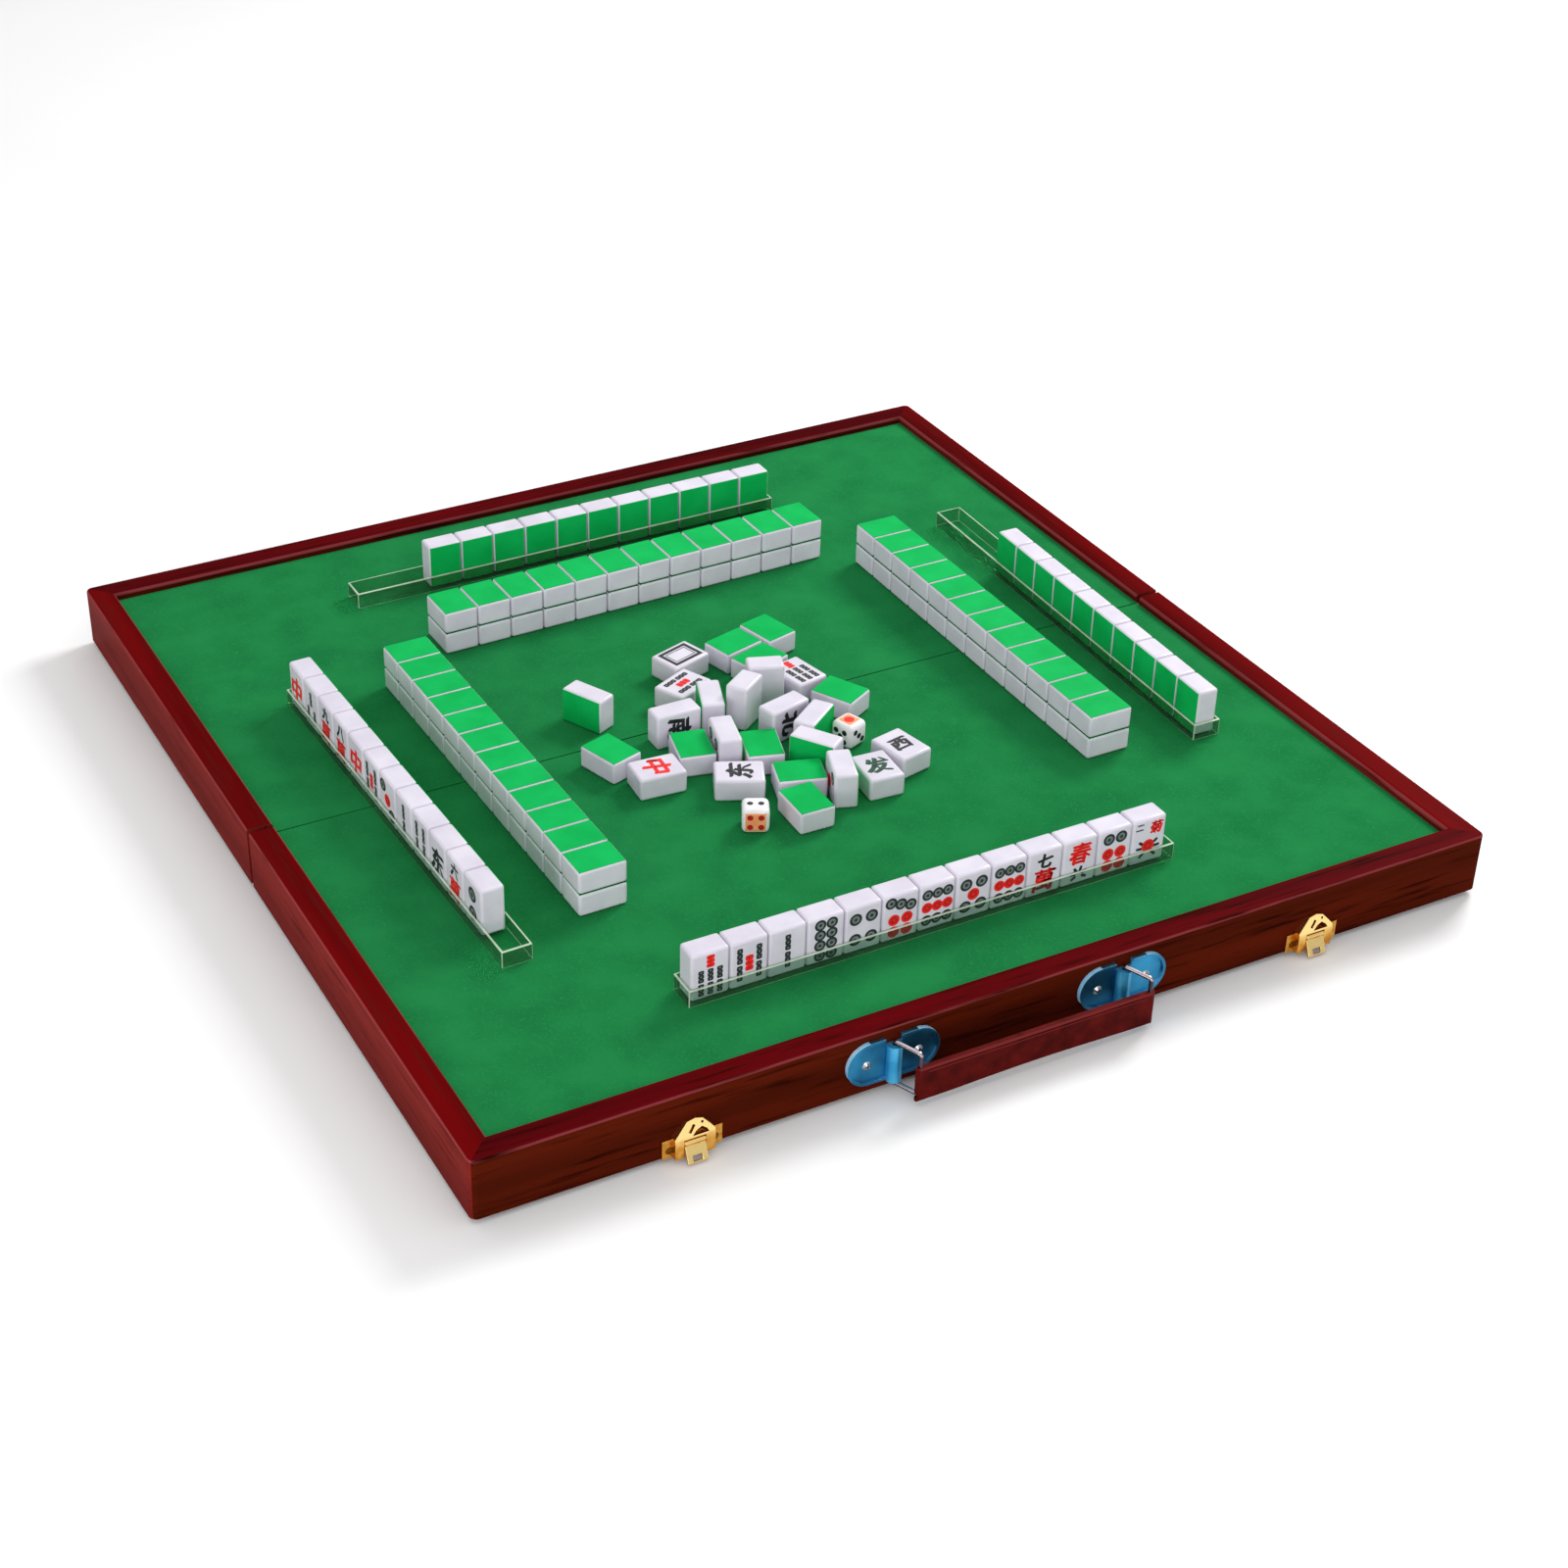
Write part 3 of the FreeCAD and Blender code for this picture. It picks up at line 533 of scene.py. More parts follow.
def setting_out_tree():
    """Tree that puts a piece on every point, turned as the point says."""
    tree = bpy.data.node_groups.new("set_out", "GeometryNodeTree")
    for name, kind in (("Places", "Geometry"), ("Piece", "Object"), ("Finish", "Material")):
        tree.interface.new_socket(name, in_out="INPUT", socket_type="NodeSocket" + kind)
    tree.interface.new_socket("Result", in_out="OUTPUT", socket_type="NodeSocketGeometry")
    start = add(tree, "NodeGroupInput")
    piece = add(tree, "GeometryNodeObjectInfo", {"Object": start.outputs["Piece"]})
    turn = add(tree, "GeometryNodeInputNamedAttribute", {"Name": "turn"}, data_type="FLOAT_VECTOR")
    laid = add(tree, "GeometryNodeInstanceOnPoints", {
        "Points": start.outputs["Places"], "Instance": piece.outputs["Geometry"],
        "Rotation": turn.outputs["Attribute"]})
    real = add(tree, "GeometryNodeRealizeInstances", {"Geometry": laid.outputs[0]})
    done = add(tree, "GeometryNodeSetMaterial", {
        "Geometry": real.outputs[0], "Material": start.outputs["Finish"]})
    add(tree, "NodeGroupOutput", {"Result": done.outputs[0]})
    return tree


set_out = setting_out_tree()
print("tree inputs:", [item.name for item in set_out.interface.items_tree])

# %% Setting out and baking


def socket_id(tree, name):
    """Identifier of a tree's named input."""
    return next(item.identifier for item in tree.interface.items_tree
                if item.name == name and item.in_out == "INPUT")


def evaluated(obj):
    """Mesh of an object as its modifiers or its text make it."""
    bpy.context.view_layer.update()
    return bpy.data.meshes.new_from_object(obj.evaluated_get(bpy.context.evaluated_depsgraph_get()))


def baked(obj):
    """Replace an object's mesh by its evaluated one and drop the modifiers."""
    mesh = evaluated(obj)
    mesh.name = obj.name
    obj.modifiers.clear()
    obj.data = mesh
    return obj


def repeat(name, piece, matrices, material):
    """Object that shows the piece at each matrix."""
    mesh = bpy.data.meshes.new(name)
    mesh.from_pydata([m.translation for m in matrices], [], [])
    turns = mesh.attributes.new("turn", "FLOAT_VECTOR", "POINT")
    for index, matrix in enumerate(matrices):
        turns.data[index].vector = matrix.to_euler()
    obj = linked(name, mesh)
    tree = obj.modifiers.new("set_out", "NODES")
    tree.node_group = set_out
    tree[socket_id(set_out, "Piece")] = piece
    tree[socket_id(set_out, "Finish")] = material
    return baked(obj)


print("the piece goes into input", socket_id(set_out, "Piece"))

# %% Tiles of every set
for name, (bodies_node, backs_node) in sets.items():
    white = repeat(name + "_bodies", tile_body, places[name], tile_white)
    green = repeat(name + "_backs", tile_slab, places[name], tile_green)
    for obj, node in ((white, bodies_node), (green, backs_node)):
        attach(obj, body_of[node])
        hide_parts(node)
    print(name, "triangles:", sum(len(p.vertices) - 2 for p in white.data.polygons))

# %% [markdown]
# Between the two layers of a wall, hardly any light gets in. A thin dark sheet in
# each of those gaps is painted shade, and keeps the line between the layers as dark
# as it looks.

# %% Painted shade between the layers
gap_inset = 0.7 * mm
gap_rounding = 0.1 * mm
gap_sheet = as_object("gap_sheet", rounded_block(
    (tile_size[0] - 2 * gap_inset, tile_size[1] - 2 * gap_inset, layer_play), gap_rounding, 1))
to_back = Matrix.Translation((0, 0, -tile_thickness / 2))
for name in ("wall_" + side for side in wall_sides):
    level = sum(m.translation.z for m in places[name]) / len(places[name])
    lower = [m @ to_back for m in places[name] if m.translation.z < level]
    gaps = repeat(name + "_gaps", gap_sheet, lower, painted_gap_shade)
    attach(gaps, body_of[sets[name][0]])
    print(gaps.name, "sheets:", len(lower))

# %% [markdown]
# ## The marks on the faces
#
# Traditional faces come in three suits (dots, bamboo sticks and numbered
# characters), four winds, three dragons and flowers. Each mark is a flat shape a few
# hundredths of a millimetre above the face: discs and sticks are drawn from circles
# and rounded bars, and characters come from a text object turned into a mesh.

# %% Dots as flat shapes
paler = {"dark": "grey", "red": "deep"}
heart_share = 0.62
core_share = 0.28
mark_lift = 0.05 * mm
level_step = 0.03 * mm
stroke_step = 0.003 * mm
stroke_levels = 9


def disc(radius, sides=18):
    """Corners of a flat disc."""
    return [(radius * math.cos(2 * math.pi * i / sides), radius * math.sin(2 * math.pi * i / sides))
            for i in range(sides)]


def ring_mark(x, y, radius, ink):
    """A dot: a broad ring round a paler middle with a small core."""
    discs = ((1, ink), (heart_share, paler[ink]), (core_share, ink))
    return [([(x + a, y + b) for a, b in disc(radius * share)], shade, level)
            for level, (share, shade) in enumerate(discs)]


print("shapes in one dot:", len(ring_mark(0, 0, 2.4, "dark")))

# %% Sticks and frames as flat shapes
joint_overlap = 1.02
slot_share = (0.3, 0.34)


def rounded_bar(x, y, width, height, ink, lean=0.0, level=0):
    """A short bar with rounded ends."""
    outline = []
    for a, b in disc(1.0, 12):
        u = math.copysign(abs(a) ** 0.5, a) * width / 2
        v = math.copysign(abs(b) ** 0.5, b) * height / 2
        outline.append((x + u * math.cos(lean) - v * math.sin(lean), y + u * math.sin(lean) + v * math.cos(lean)))
    return (outline, ink, level)


def stick_mark(x, y, ink, width, height):
    """A bamboo stick: three joints in a row, each with a paler slot."""
    joint = height / 3
    marks = []
    for there in (y - joint, y, y + joint):
        marks.append(rounded_bar(x, there, width, joint * joint_overlap, ink))
        marks.append(rounded_bar(x, there, width * slot_share[0], joint * slot_share[1], paler[ink], level=1))
    return marks


def frame_mark(a, b, bar, ink):
    """An empty frame of four mitred bars, from its half width and half height."""
    c, d = a - bar, b - bar
    ways = ((-1, -1), (1, -1), (1, 1), (-1, 1))
    return [([(i * a, j * b), (k * a, m * b), (k * c, m * d), (i * c, j * d)], ink, 0)
            for (i, j), (k, m) in zip(ways, ways[1:] + ways[:1])]


print("shapes in one stick:", len(stick_mark(0, 0, "dark", 3, 9)))

# %% Characters as meshes
characters = {}
brush_edge = (0.32, -0.27)
brush_full = 12.0
brush_lean = 0.16
width_weight = 0.9


def character(text, height):
    """Polygons of a character, centred, with its ink height in millimetres."""
    if text not in characters:
        curve = bpy.data.curves.new("character", "FONT")
        curve.body = text
        curve.dimensions = "2D"
        curve.fill_mode = "FRONT"
        curve.resolution_u = 2
        curve.shear = brush_lean
        obj = linked("character", curve)
        mesh = evaluated(obj)
        points = [vert.co.xy for vert in mesh.vertices]
        low, high = reach(points)
        tall = max(high[1] - low[1], (high[0] - low[0]) * width_weight)
        centre = [(low[i] + high[i]) / 2 for i in (0, 1)]
        unit = [((point[0] - centre[0]) / tall, (point[1] - centre[1]) / tall) for point in points]
        characters[text] = [[unit[i] for i in poly.vertices] for poly in mesh.polygons]
        bpy.data.objects.remove(obj)
        bpy.data.curves.remove(curve)
        bpy.data.meshes.remove(mesh)
    return [[(a * height, b * height) for a, b in poly] for poly in characters[text]]


def character_mark(text, x, y, height, ink, width=1.0):
    """A character as a flat brush draws it: copies slide along the brush's edge."""
    strokes = []
    for step in (-2, -1, 0, 1, 2):
        step *= width * min(1.0, height / brush_full)
        slide_x, slide_y = x + step * brush_edge[0], y + step * brush_edge[1]
        strokes += [([(slide_x + a, slide_y + b) for a, b in poly], ink, 0) for poly in character(text, height)]
    return strokes


print("polygons in one character:", len(character("萬", 9)))

# %% [markdown]
# Dots stand in rows or on a slant, and sticks stand in rows. In both suits some
# marks are red, always the same ones, which is how players read them at a glance.
# A table for each suit gives the places, in millimetres from the tile's middle.

# %% Dots


def columns(across, along, ink):
    """Places in columns, with their ink."""
    return [(x, y, ink) for x in across for y in along]


dot_places = {
    1: [(0, 0, "red")],
    2: columns((0,), (5.8, -5.8), "dark"),
    3: [(-5.2, 7.4, "dark"), (0, 0, "red"), (5.2, -7.4, "dark")],
    4: columns((-4.6, 4.6), (6.2, -6.2), "dark"),
    5: columns((-4.6, 4.6), (6.8, -6.8), "dark") + [(0, 0, "red")],
    6: columns((-3.8, 3.8), (8,), "dark") + columns((-3.8, 3.8), (-1.2, -8.4), "red"),
    7: [(-5.8, 9.4, "dark"), (0, 7.6, "dark"), (5.8, 5.8, "dark")] + columns((-3.8, 3.8), (-1.4, -8.6), "red"),
    8: columns((-3.3, 3.3), (9.3, 3.1, -3.1, -9.3), "dark"),
    9: [(x, y, "red" if y == 0 else "dark") for x in (-6.0, 0, 6.0) for y in (7.8, 0, -7.8)],
}
dot_radius = {1: 5.8, 2: 4.4, 3: 3.8, 4: 3.6, 5: 3.6, 6: 3.6, 7: 3.4, 8: 3.3, 9: 3.2}


def dots_face(number):
    """Marks of one tile of the suit of dots."""
    return [shape for x, y, ink in dot_places[number] for shape in ring_mark(x, y, dot_radius[number], ink)]


print("dots drawn:", {number: len(spots) for number, spots in dot_places.items()})

# %% Sticks


def rows(across, along):
    """Places in rows, from the top down."""
    return [(x, y) for y in along for x in across]


stick_places = {
    1: [(0, 0)], 2: rows((0,), (5.2, -5.2)), 3: [(0, 5.2), (-4.4, -5.2), (4.4, -5.2)],
    4: rows((-4.4, 4.4), (5.2, -5.2)), 5: [(-5.4, 5.2), (5.4, 5.2), (0, 0), (-5.4, -5.2), (5.4, -5.2)],
    6: rows((-5.2, 0, 5.2), (5.2, -5.2)), 7: [(0, 8.2)] + rows((-5.2, 0, 5.2), (0, -8.2)),
    8: rows((-6.3, -2.1, 2.1, 6.3), (5.2, -5.2)), 9: rows((-5.2, 0, 5.2), (8.2, 0, -8.2)),
}
red_stick = {1: (0, 0), 5: (0, 0), 7: (0, 8.2), 9: (0, 0)}
stick_width = {"dark": 3.3, "red": 4.6}


def bamboo_face(number):
    """Marks of one tile of the suit of sticks, with its red stick."""
    tall = 7.4 if number in (7, 9) else 9.4
    marks = []
    for spot in stick_places[number]:
        ink = "red" if spot == red_stick.get(number) else "dark"
        marks += stick_mark(*spot, ink, stick_width[ink], tall)
    return marks


print("sticks drawn:", {number: len(spots) for number, spots in stick_places.items()})

# %% [markdown]
# Flowers are the odd tiles of the set: a small numeral in one corner, a red
# character in the other, and a sprig below. The sprig here is made of rounded bars
# that lean out from the middle.

# %% Flowers, characters and winds
leaf_width = 1.8
numerals = "一二三四五六七八九"
honours = {
    "east": ("东", "dark", 14.5), "south": ("南", "dark", 14.0), "west": ("西", "dark", 11.0),
    "north": ("北", "dark", 14.0), "red": ("中", "red", 15.5), "green": ("发", "green", 14.0),
}


def sprig(y, reach, leaves):
    """Leaves that lean out from one point on the tile's middle line."""
    return [rounded_bar(reach * math.sin(lean), y + reach * math.cos(lean), leaf_width, reach, "dark", -lean)
            for lean in leaves]


def flower_face(number):
    """Numeral, character and a sprig with a full red bloom."""
    marks = character_mark(numerals[number - 1], -6.2, 9.4, 4.2, "dark")
    marks += character_mark("菊", 4.6, 7.6, 7.4, "red")
    return marks + sprig(-4.6, 5.0, (-1.5, -0.9, 0.9, 1.5, 2.4, 3.9)) + ring_mark(0, -3.2, 3.9, "red")


def season_face(number):
    """Large character over a small plant; every season here is the first."""
    marks = character_mark("春", 0, 5.0, 12.5, "red", width=0.8)
    return marks + sprig(-8.2, 3.6, (-2.1, -1.4, -0.6, 0.3, 1.2, 2.0))


def number_face(number):
    """Numeral over the character for ten thousand."""
    marks = character_mark(numerals[number - 1], 0, 7.2, 8.4, "dark")
    return marks + character_mark("萬", 0, -4.8, 13.0, "red", width=0.8)


print("leaves in a sprig:", len(sprig(0, 5, (0, 1))))

# %% The faces by name
suits = {"dots": dots_face, "bamboo": bamboo_face, "number": number_face, "flower": flower_face,
         "season": season_face}


def face_marks(name):
    """Shapes of one face, named such as 'dots 7' or 'east'."""
    kind, _, number = name.partition(" ")
    if kind in suits:
        return suits[kind](int(number))
    if kind == "white":
        return frame_mark(8.0, 10.8, 2.2, "dark") + frame_mark(5.0, 7.8, 0.8, "grey")
    if kind == "blank":
        return []
    text, ink, height = honours[kind]
    return character_mark(text, 0, 0, height, ink)


print("shapes on the seven of dots:", len(face_marks("dots 7")))

# %% [markdown]
# Which face stands where follows the photograph for the front and left racks and
# the heap; the racks that turn away get faces of the same set. Names run from left
# to right as the player at that side reads them.

# %% Faces of the racks
faces = {
    "rack_front": ("bamboo 7", "bamboo 5", "bamboo 2", "dots 8", "dots 4", "dots 7", "dots 9", "dots 5",
                   "dots 9", "number 7", "season 1", "dots 6", "flower 2"),
    "rack_left": ("red", "bamboo 3", "number 9", "number 8", "red", "bamboo 5", "dots 3", "bamboo 2",
                  "bamboo 4", "east", "number 6", "dots 2"),
    "rack_right": ("dots 2", "dots 3", "bamboo 4", "bamboo 8", "number 1", "number 5", "west", "north",
                   "green", "red"),
    "rack_far": ("number 3", "number 4", "number 5", "dots 6", "dots 7", "dots 8", "bamboo 3", "bamboo 4",
                 "east", "east", "white"),
}


def in_rack_order(name):
    """Places as the player at that side reads them, left to right."""
    right = places[name][0].col[0].xyz
    return sorted(places[name], key=lambda m: m.translation.dot(right))


print("faces in the racks:", sum(len(named) for named in faces.values()))

# %% Stamping the marks


def flat_piece(name, shapes, material, body):
    """Mesh of outlines in millimetres, each with its matrix and height, riding on a body."""
    points, polys = [], []
    for onto, outline, height in shapes:
        polys.append(list(range(len(points), len(points) + len(outline))))
        points += [onto @ Vector((a * mm, b * mm, height)) for a, b in outline]
    mesh = bpy.data.meshes.new(name)
    mesh.from_pydata(points, [], polys)
    obj = linked(name, mesh)
    paint(obj, material)
    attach(obj, body)


def stamp(name, pairs, body):
    """One mesh for each ink; shapes that overlap lie a hair above each other."""
    lift = Matrix.Translation((0, 0, tile_size[2] / 2 + mark_lift))
    for ink, material in inks.items():
        shapes = []
        for matrix, face in pairs:
            for outline, shade, level in face_marks(face):
                if shade == ink:
                    height = level * level_step + len(shapes) % stroke_levels * stroke_step
                    shapes.append((matrix @ lift, outline, height))
        if shapes:
            flat_piece(name + "_" + ink, shapes, material, body)
            print(name, ink, "shapes:", len(shapes))


for name, named in faces.items():
    stamp(name + "_marks", list(zip(in_rack_order(name), named)), body_of[sets[name][0]])

# %% [markdown]
# The heap is a jumble, so its faces are named by place: across and away from the
# middle of the table in tile lengths. A tile that has no name in the table takes
# the next of a few common faces.

# %% Faces in the heap
fold = (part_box("near_felt")[1].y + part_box("far_felt")[0].y) / 2
heap_faces = (
    (-2.74, -1.88, "red"), (-0.83, 0.73, "bamboo 5"), (-0.36, 1.78, "white"), (1.53, 0.10, "bamboo 7"),
    (-1.64, -0.47, "south"), (0.44, -1.26, "north"), (-1.36, -2.73, "east"), (1.98, -3.29, "west"),
    (1.15, -3.77, "green"), (-1.08, -1.61, "dots 4"), (0.37, -3.74, "dots 3"), (-0.71, -0.25, "bamboo 4"),
    (-0.04, -0.46, "blank"), (0.67, -0.03, "blank"),
)
common = ("number 4", "bamboo 6", "dots 5")
same_place = 0.3
face_down = -0.5


def heap_face(matrix, index):
    """Name of the face that a heap tile shows."""
    spot = (matrix.translation - Vector((0, fold, 0))) / tile_length
    gap, name = min((math.hypot(across - spot.x, along - spot.y), name) for across, along, name in heap_faces)
    return name if gap < same_place else common[index % len(common)]


shown = [m for m in places["heap"] if m.col[2].z > face_down]
stamp("heap_marks", [(m, heap_face(m, index)) for index, m in enumerate(shown)], body_of["heap_tiles"])
print("heap tiles that show a face:", len(shown))

# %% [markdown]
# ## Softer copies of plain solids
#
# The racks, latches and catches are sharp-edged solids. A soft copy merges the
# doubled corners, joins the triangles of each flat face and rounds every sharp edge
# a little, which is what catches the light on a real pressed or moulded piece. Its
# normals are weighted by area, so that the flats stay flat and only the roundings
# shade smoothly. The troughs stand on the felt, so the underside of their copies is
# lifted a tenth of a millimetre to keep film and felt apart.

# %% Soft copies
round_from = math.radians(25)
sharp_from = math.radians(50)
flat_weight = 100


def rounded_edges(made, rounding):
    """Join the triangles of flat faces and round the sharp edges by some millimetres."""
    bmesh.ops.dissolve_limit(made, angle_limit=math.radians(1), verts=made.verts, edges=made.edges)
    edges = [edge for edge in made.edges
             if len(edge.link_faces) == 2 and edge.calc_face_angle() > round_from]
    bmesh.ops.bevel(made, geom=edges, offset=rounding * mm, segments=2, profile=0.5,
                    affect="EDGES", clamp_overlap=True)
    for face in made.faces:
        face.smooth = True


def soft_copy(node, name, rounding, material):
    """Copy of a node with its sharp edges rounded, riding on its body."""
    made = merged(node)
    rounded_edges(made, rounding)
    obj = as_object(name, made)
    paint(obj, material)
    obj.data.set_sharp_from_angle(angle=sharp_from)
    weighted = obj.modifiers.new("weighted", "WEIGHTED_NORMAL")
    weighted.weight = flat_weight
    weighted.keep_sharp = True
    baked(obj)
    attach(obj, body_of[node])
    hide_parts(node)
    return obj


print("edges are rounded from", round(math.degrees(round_from)), "degrees")

# %% Clear racks
trough_rounding = 0.45
foot_lift = 0.1 * mm
rim_depth = 0.05 * mm
square_on = 0.95


def trough_finish(poly, heart, high):
    """Number of a face's finish: 0 outer film, 1 rim with a painted glow, 2 inner face."""
    outward = poly.normal.xy.dot(poly.center.xy - heart.xy) > 0
    rounded = max(abs(axis) for axis in poly.normal) < square_on
    if poly.center.z > high - rim_depth or (rounded and outward):
        return 1
    return 2 if abs(poly.normal.z) > square_on or not outward else 0


for side in rack_sides:
    trough = soft_copy("rack_" + side, "trough_" + side, trough_rounding, acrylic)
    low = min(vert.co.z for vert in trough.data.vertices)
    for vert in trough.data.vertices:
        vert.co.z = max(vert.co.z, low + foot_lift)
    for material in (acrylic_rim, acrylic_inside):
        trough.data.materials.append(material)
    corners = reach([vert.co for vert in trough.data.vertices])
    heart = (corners[0] + corners[1]) / 2
    for poly in trough.data.polygons:
        poly.material_index = trough_finish(poly, heart, corners[1].z)
    print(trough.name, "faces:", len(trough.data.polygons))

# %% [markdown]
# The latches, catches and brackets are pressed sheet, so every edge is a little
# round and draws its own bright line. On the brackets, the rounded front edges carry a
# pale painted highlight, and the ridge in the middle a clearer blue, a painted
# highlight down its length.

# %% Pressed metal
pressed = {
    "latch_plates": ("latch_arches", 0.3, gold), "latch_lever_left": ("lever_left", 0.25, gold),
    "latch_lever_right": ("lever_right", 0.25, gold), "catches": ("catch_plates", 0.25, gold),
    "bracket_left": ("plate_left", 0.55, blue_chrome), "bracket_right": ("plate_right", 0.55, blue_chrome),
}
bead_area = 8 * mm * mm
bead_tilt = 0.97
bead_underside = -0.4
ridge_half = 5.5 * mm


def plate_finish(poly, heart):
    """Number of a face's finish: 0 plate, 1 bead with a painted highlight, 2 ridge with a painted highlight."""
    if abs(poly.center.x - heart.x) < ridge_half:
        return 2
    outward = poly.normal.xz.dot(poly.center.xz - heart.xz) > 0
    bead = abs(poly.normal.y) < bead_tilt and poly.normal.z > bead_underside and poly.area < bead_area
    return 1 if outward and bead else 0


for node, (name, rounding, material) in pressed.items():
    piece = soft_copy(node, name, rounding, material)
    if material is blue_chrome:
        piece.data.materials.append(blue_bead_highlight)
        piece.data.materials.append(blue_ridge_highlight)
        heart = middle([vert.co for vert in piece.data.vertices])
        for poly in piece.data.polygons:
            poly.material_index = plate_finish(poly, heart)
    print(piece.name, "faces:", len(piece.data.polygons))

# %% [markdown]
# The cross in a screw's head lies in shade and looks black, so a dark cross of
# painted shade is sunk in each. It goes into the middle of every separate screw of the
# solid.

# %% Crosses in the screws
cross_length = 2.8 * mm
cross_width = 0.7 * mm
cross_height = 0.3 * mm
cross_rounding = 0.1 * mm
cross_sunk = 0.1 * mm
bars = ((cross_length, cross_width), (cross_width, cross_length))
cross = joined("cross", [rounded_block((width, cross_height, height), cross_rounding, 1) for width, height in bars])
heads = []
for points, ways in loose_parts("bracket_screws"):
    heart = middle(points)
    heads.append(Vector((heart.x, reach(points)[0].y + cross_sunk, heart.z)))
crosses = repeat("screw_crosses", cross, [Matrix.Translation(head) for head in heads], painted_recess_shade)
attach(crosses, body_of["bracket_screws"])
print("crosses:", len(heads))

# %% [markdown]
# ## Dice
#
# A die is a cube with generous rounding. Its pips are shallow dimples filled with
# ink; at this size a flat disc a hair above the face looks the same. Opposite faces
# add up to seven. The one has a large red pip and the four has deep red ones, and
# an orange stain shows round them.

# %% Dice
die_side = 15.0 * mm
die_flat = 12.0 * mm
die_rounding = 3.1 * mm
pips = {
    1: ((0, 0),), 2: ((-1, 1), (1, -1)), 3: ((-1, 1), (0, 0), (1, -1)),
    4: ((-1, -1), (-1, 1), (1, -1), (1, 1)), 5: ((-1, -1), (-1, 1), (1, -1), (1, 1), (0, 0)),
    6: ((-1, -1), (-1, 0), (-1, 1), (1, -1), (1, 0), (1, 1)),
}
pip_spacing = 3.0
pip_radius = 1.7
big_pip_radius = 3.0
stain_reach = {1: 0.995, 4: 0.9}


def die_faces(top, front):
    """Turns of the cube's six faces with their numbers."""
    side = next(n for n in range(1, 7) if n not in (top, 7 - top, front, 7 - front))
    return (
        (Euler((0, 0, 0)), top), (Euler((math.pi, 0, 0)), 7 - top),
        (Euler((math.pi / 2, 0, 0)), front), (Euler((-math.pi / 2, 0, 0)), 7 - front),
        (Euler((0, math.pi / 2, 0)), side), (Euler((0, -math.pi / 2, 0)), 7 - side),
    )


def die_place(node):
    """Matrix of a die that stands on the felt, turned by less than an eighth of a turn."""
    points, ways = loose_parts(node)[0]
    heart = middle(points)
    heart.z = min(point.z for point in points) + die_side / 2
    level = [way for way in ways if abs(way.z) < 0.01 * mm]
    along = min(level, key=lambda way: abs(way.length - die_flat))
    quarter = math.pi / 2
    angle = math.atan2(along.y, along.x)
    angle -= quarter * round(angle / quarter)
    return Matrix.Translation(heart) @ Matrix.Rotation(angle, 4, "Z")


print("die_a stands at", die_place("die_a").translation)

# %% Pips


def pip_marks(number):
    """Places, radius and ink of one face's pips."""
    if number == 1:
        return [(0, 0, big_pip_radius, "red")]
    spots = ((-1, 0), (1, 0)) if number == 2 else pips[number]
    return [(a * pip_spacing, b * pip_spacing, pip_radius, "deep" if number == 4 else "dark") for a, b in spots]


def add_pips(node, there, sides):
    """Discs a hair above the faces of a die, one piece for each ink."""
    lift = Matrix.Translation((0, 0, die_side / 2 + mark_lift))
    for ink in ("red", "deep", "dark"):
        shapes = [(there @ turn @ lift, [(x + u, y + v) for u, v in disc(radius)], 0)
                  for turn, number in sides for x, y, radius, shade in pip_marks(number) if shade == ink]
        flat_piece(node + "_pips_" + ink, shapes, inks[ink], body_of[node])


print("pips on a die:", sum(len(pip_marks(number)) for number in pips))

# %% Cubes


def make_die(node, top, front):
    """Rounded cube with its pips; the faces with red pips are stained orange."""
    there = die_place(node)
    made = rounded_block((die_side,) * 3, die_rounding, 4)
    sides = [(turn.to_matrix().to_4x4(), number) for turn, number in die_faces(top, front)]
    for turn, number in sides:
        if number in stain_reach:
            outward = turn.to_3x3() @ Vector((0, 0, 1))
            for face in made.faces:
                if face.normal.dot(outward) > stain_reach[number]:
                    face.material_index = 1
    bmesh.ops.transform(made, matrix=there, verts=made.verts)
    cube = as_object(node + "_cube", made)
    cube.data.materials.append(die_white)
    cube.data.materials.append(inks["orange"])
    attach(cube, body_of[node])
    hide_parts(node)
    add_pips(node, there, sides)
    return cube


for node, top, front in (("die_a", 2, 4), ("die_b", 1, 3)):
    cube = make_die(node, top, front)
    print(cube.name, "faces:", len(cube.data.polygons))

# %% [markdown]
# ## The handle
#
# The handle is a stiff strap wrapped in leatherette, with an arched lower edge. The
# wrap is rolled over at the top, which leaves a welt along both faces a little below
# the upper edge. The strap itself is a soft copy of the solid, which keeps the bores
# and slots that the rings turn in. It is thinner by the height of the welts, so that
# the welts don't stand out of the solid's box.

# %% Wrapped strap
strap_rounding = 0.5
welt_size = 1.1 * mm
welt_rounding = 0.3 * welt_size
strap = soft_copy("handle_strap", "strap", strap_rounding, leatherette)
low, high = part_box("handle_strap")
strap_middle = (low + high) / 2
strap_half = (high - low) / 2
thinner = (strap_half.y - welt_size / 2) / strap_half.y
strap_half.y *= thinner
for vert in strap.data.vertices:
    vert.co.y = strap_middle.y + (vert.co.y - strap_middle.y) * thinner
print("strap is", round(2 * strap_half.x / mm), "mm long, faces:", len(strap.data.polygons))

# %% Welt along the seam
seam_drop = 2.6 * mm
seam_reach = strap_half.x - 3 * strap_half.y
seam_level = high.z - seam_drop


def welt_strip(side):
    """Rounded strip that lies half sunk in one face of the strap."""
    made = rounded_block((2 * seam_reach, welt_size, welt_size), welt_rounding, 2)
    there = (strap_middle.x, strap_middle.y + side * strap_half.y, seam_level)
    bmesh.ops.translate(made, vec=there, verts=made.verts)
    return made


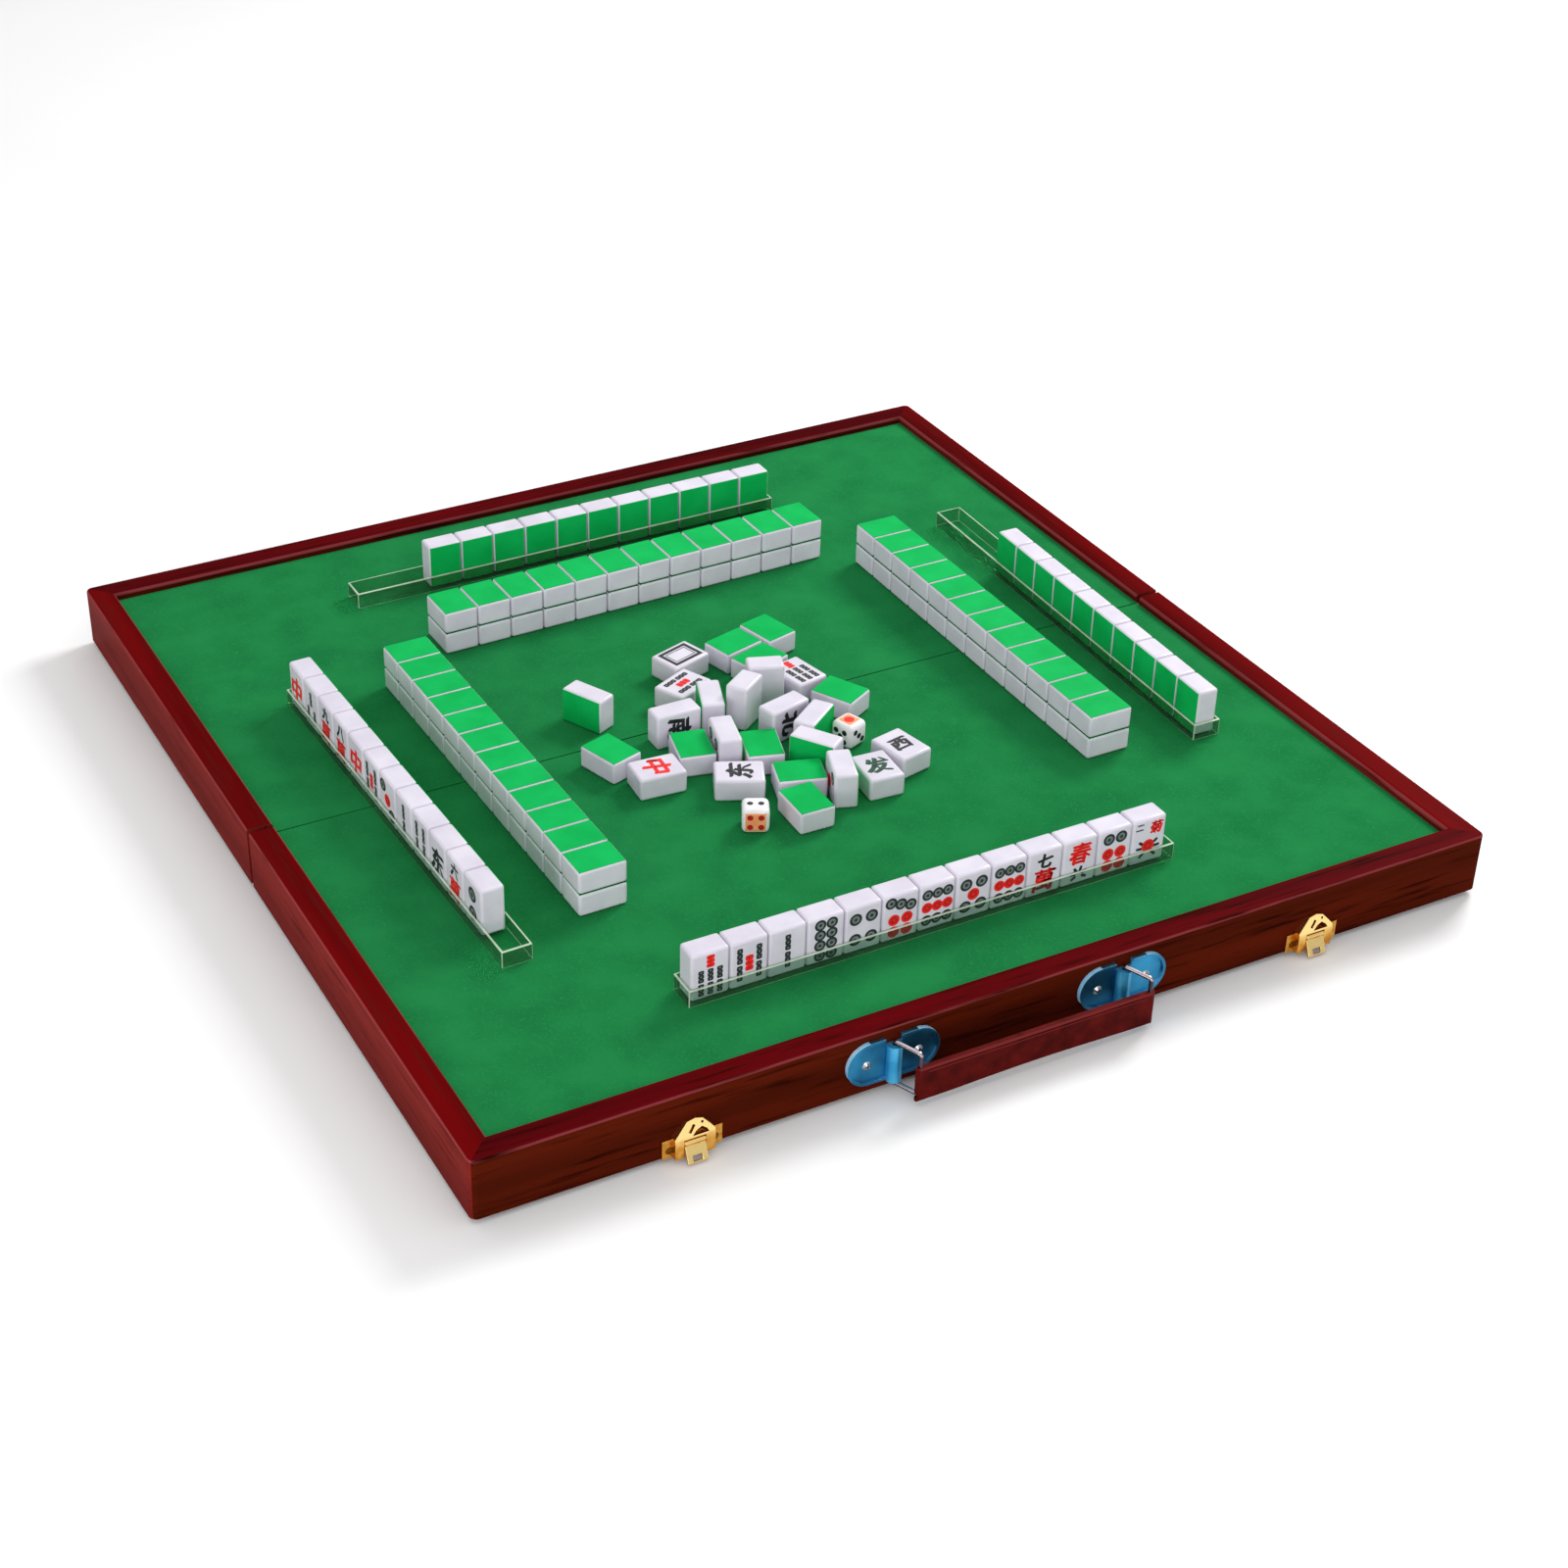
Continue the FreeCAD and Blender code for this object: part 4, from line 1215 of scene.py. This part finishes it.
welt = joined("strap_welt", [welt_strip(-1), welt_strip(1)])
paint(welt, leatherette)
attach(welt, body_of["handle_strap"])
print("welt is", round(2 * seam_reach / mm), "mm long")

# %% [markdown]
# ## Clearing away
#
# The single tile, shade sheet and cross were only patterns for the repeats, so they
# leave the scene.

# %% Remove the patterns
for spare in (tile_body, tile_slab, gap_sheet, cross):
    bpy.data.objects.remove(spare)

# %% [markdown]
# ## Stage, light and camera
#
# The floor is a plain pale sheet. A sky that is brighter above than at the horizon
# makes the tops of the tiles lighter than their sides. A large soft panel at the
# right throws the short shadows, a low one at the left lights the side of the case,
# and a broad one in front lights the near wall. The camera stands where the
# photograph was taken from.

# %% Floor
floor_width = 14.0
floor_drop = 0.4 * mm
bpy.ops.mesh.primitive_plane_add(size=floor_width, location=(0, 0, -floor_drop))
floor = bpy.context.object
floor.name = "floor"
paint(floor, finish("pale_paper", "f2f2f2", "f6f6f6", 400, Roughness=0.9))
print("floor is", floor.dimensions.x, "m wide")

# %% Sky
sky_low = 0.40
sky_high = 0.90
world = bpy.data.worlds.new("bright_room")
bpy.context.scene.world = world
world.use_nodes = True
air = world.node_tree
air.nodes.clear()
way = add(air, "ShaderNodeTexCoord")
upward = add(air, "ShaderNodeSeparateXYZ", {"Vector": way.outputs["Generated"]})
strength = add(air, "ShaderNodeMapRange", {"Value": upward.outputs[2], "To Min": sky_low, "To Max": sky_high})
sky = add(air, "ShaderNodeBackground", {"Color": colour("ffffff"), "Strength": strength.outputs[0]})
add(air, "ShaderNodeOutputWorld", {"Surface": sky.outputs[0]})
print("sky strength runs from", sky_low, "to", sky_high)

# %% Panels


def panel(name, place, target, width, power):
    """Square area light that looks at a target."""
    light = bpy.data.lights.new(name, "AREA")
    light.energy = power
    light.size = width
    obj = linked(name, light)
    obj.location = place
    obj.rotation_euler = (Vector(target) - Vector(place)).to_track_quat("-Z", "Y").to_euler()


panel("panel_right", (1.5, 0.6, 1.3), (0, 0, 0), 0.7, 30)
panel("panel_left", (-1.3, -0.5, 0.3), (-0.3, -0.1, 0.02), 0.5, 4)
panel("panel_front", (-0.5, -2.2, 0.7), (0, 0, 0.05), 1.2, 15)
bpy.context.scene.view_settings.view_transform = "Standard"

# %% Camera
camera_azimuth = math.radians(-26.65)
camera_elevation = math.radians(32.49)
camera_distance = 2.3075
camera_target = Vector((0.2317, 0.56645, -0.3807))
camera_lens = 62.80
camera_shift = (0.0798, -0.0200)

back = Vector((math.sin(camera_azimuth) * math.cos(camera_elevation),
               -math.cos(camera_azimuth) * math.cos(camera_elevation), math.sin(camera_elevation)))
lens = bpy.data.cameras.new("camera")
lens.lens = camera_lens
lens.sensor_width = 36.0
lens.shift_x, lens.shift_y = camera_shift
camera = linked("camera", lens)
camera.location = camera_target + back * camera_distance
camera.rotation_euler = back.to_track_quat("Z", "Y").to_euler()
bpy.context.scene.camera = camera
print("camera at", camera.location)
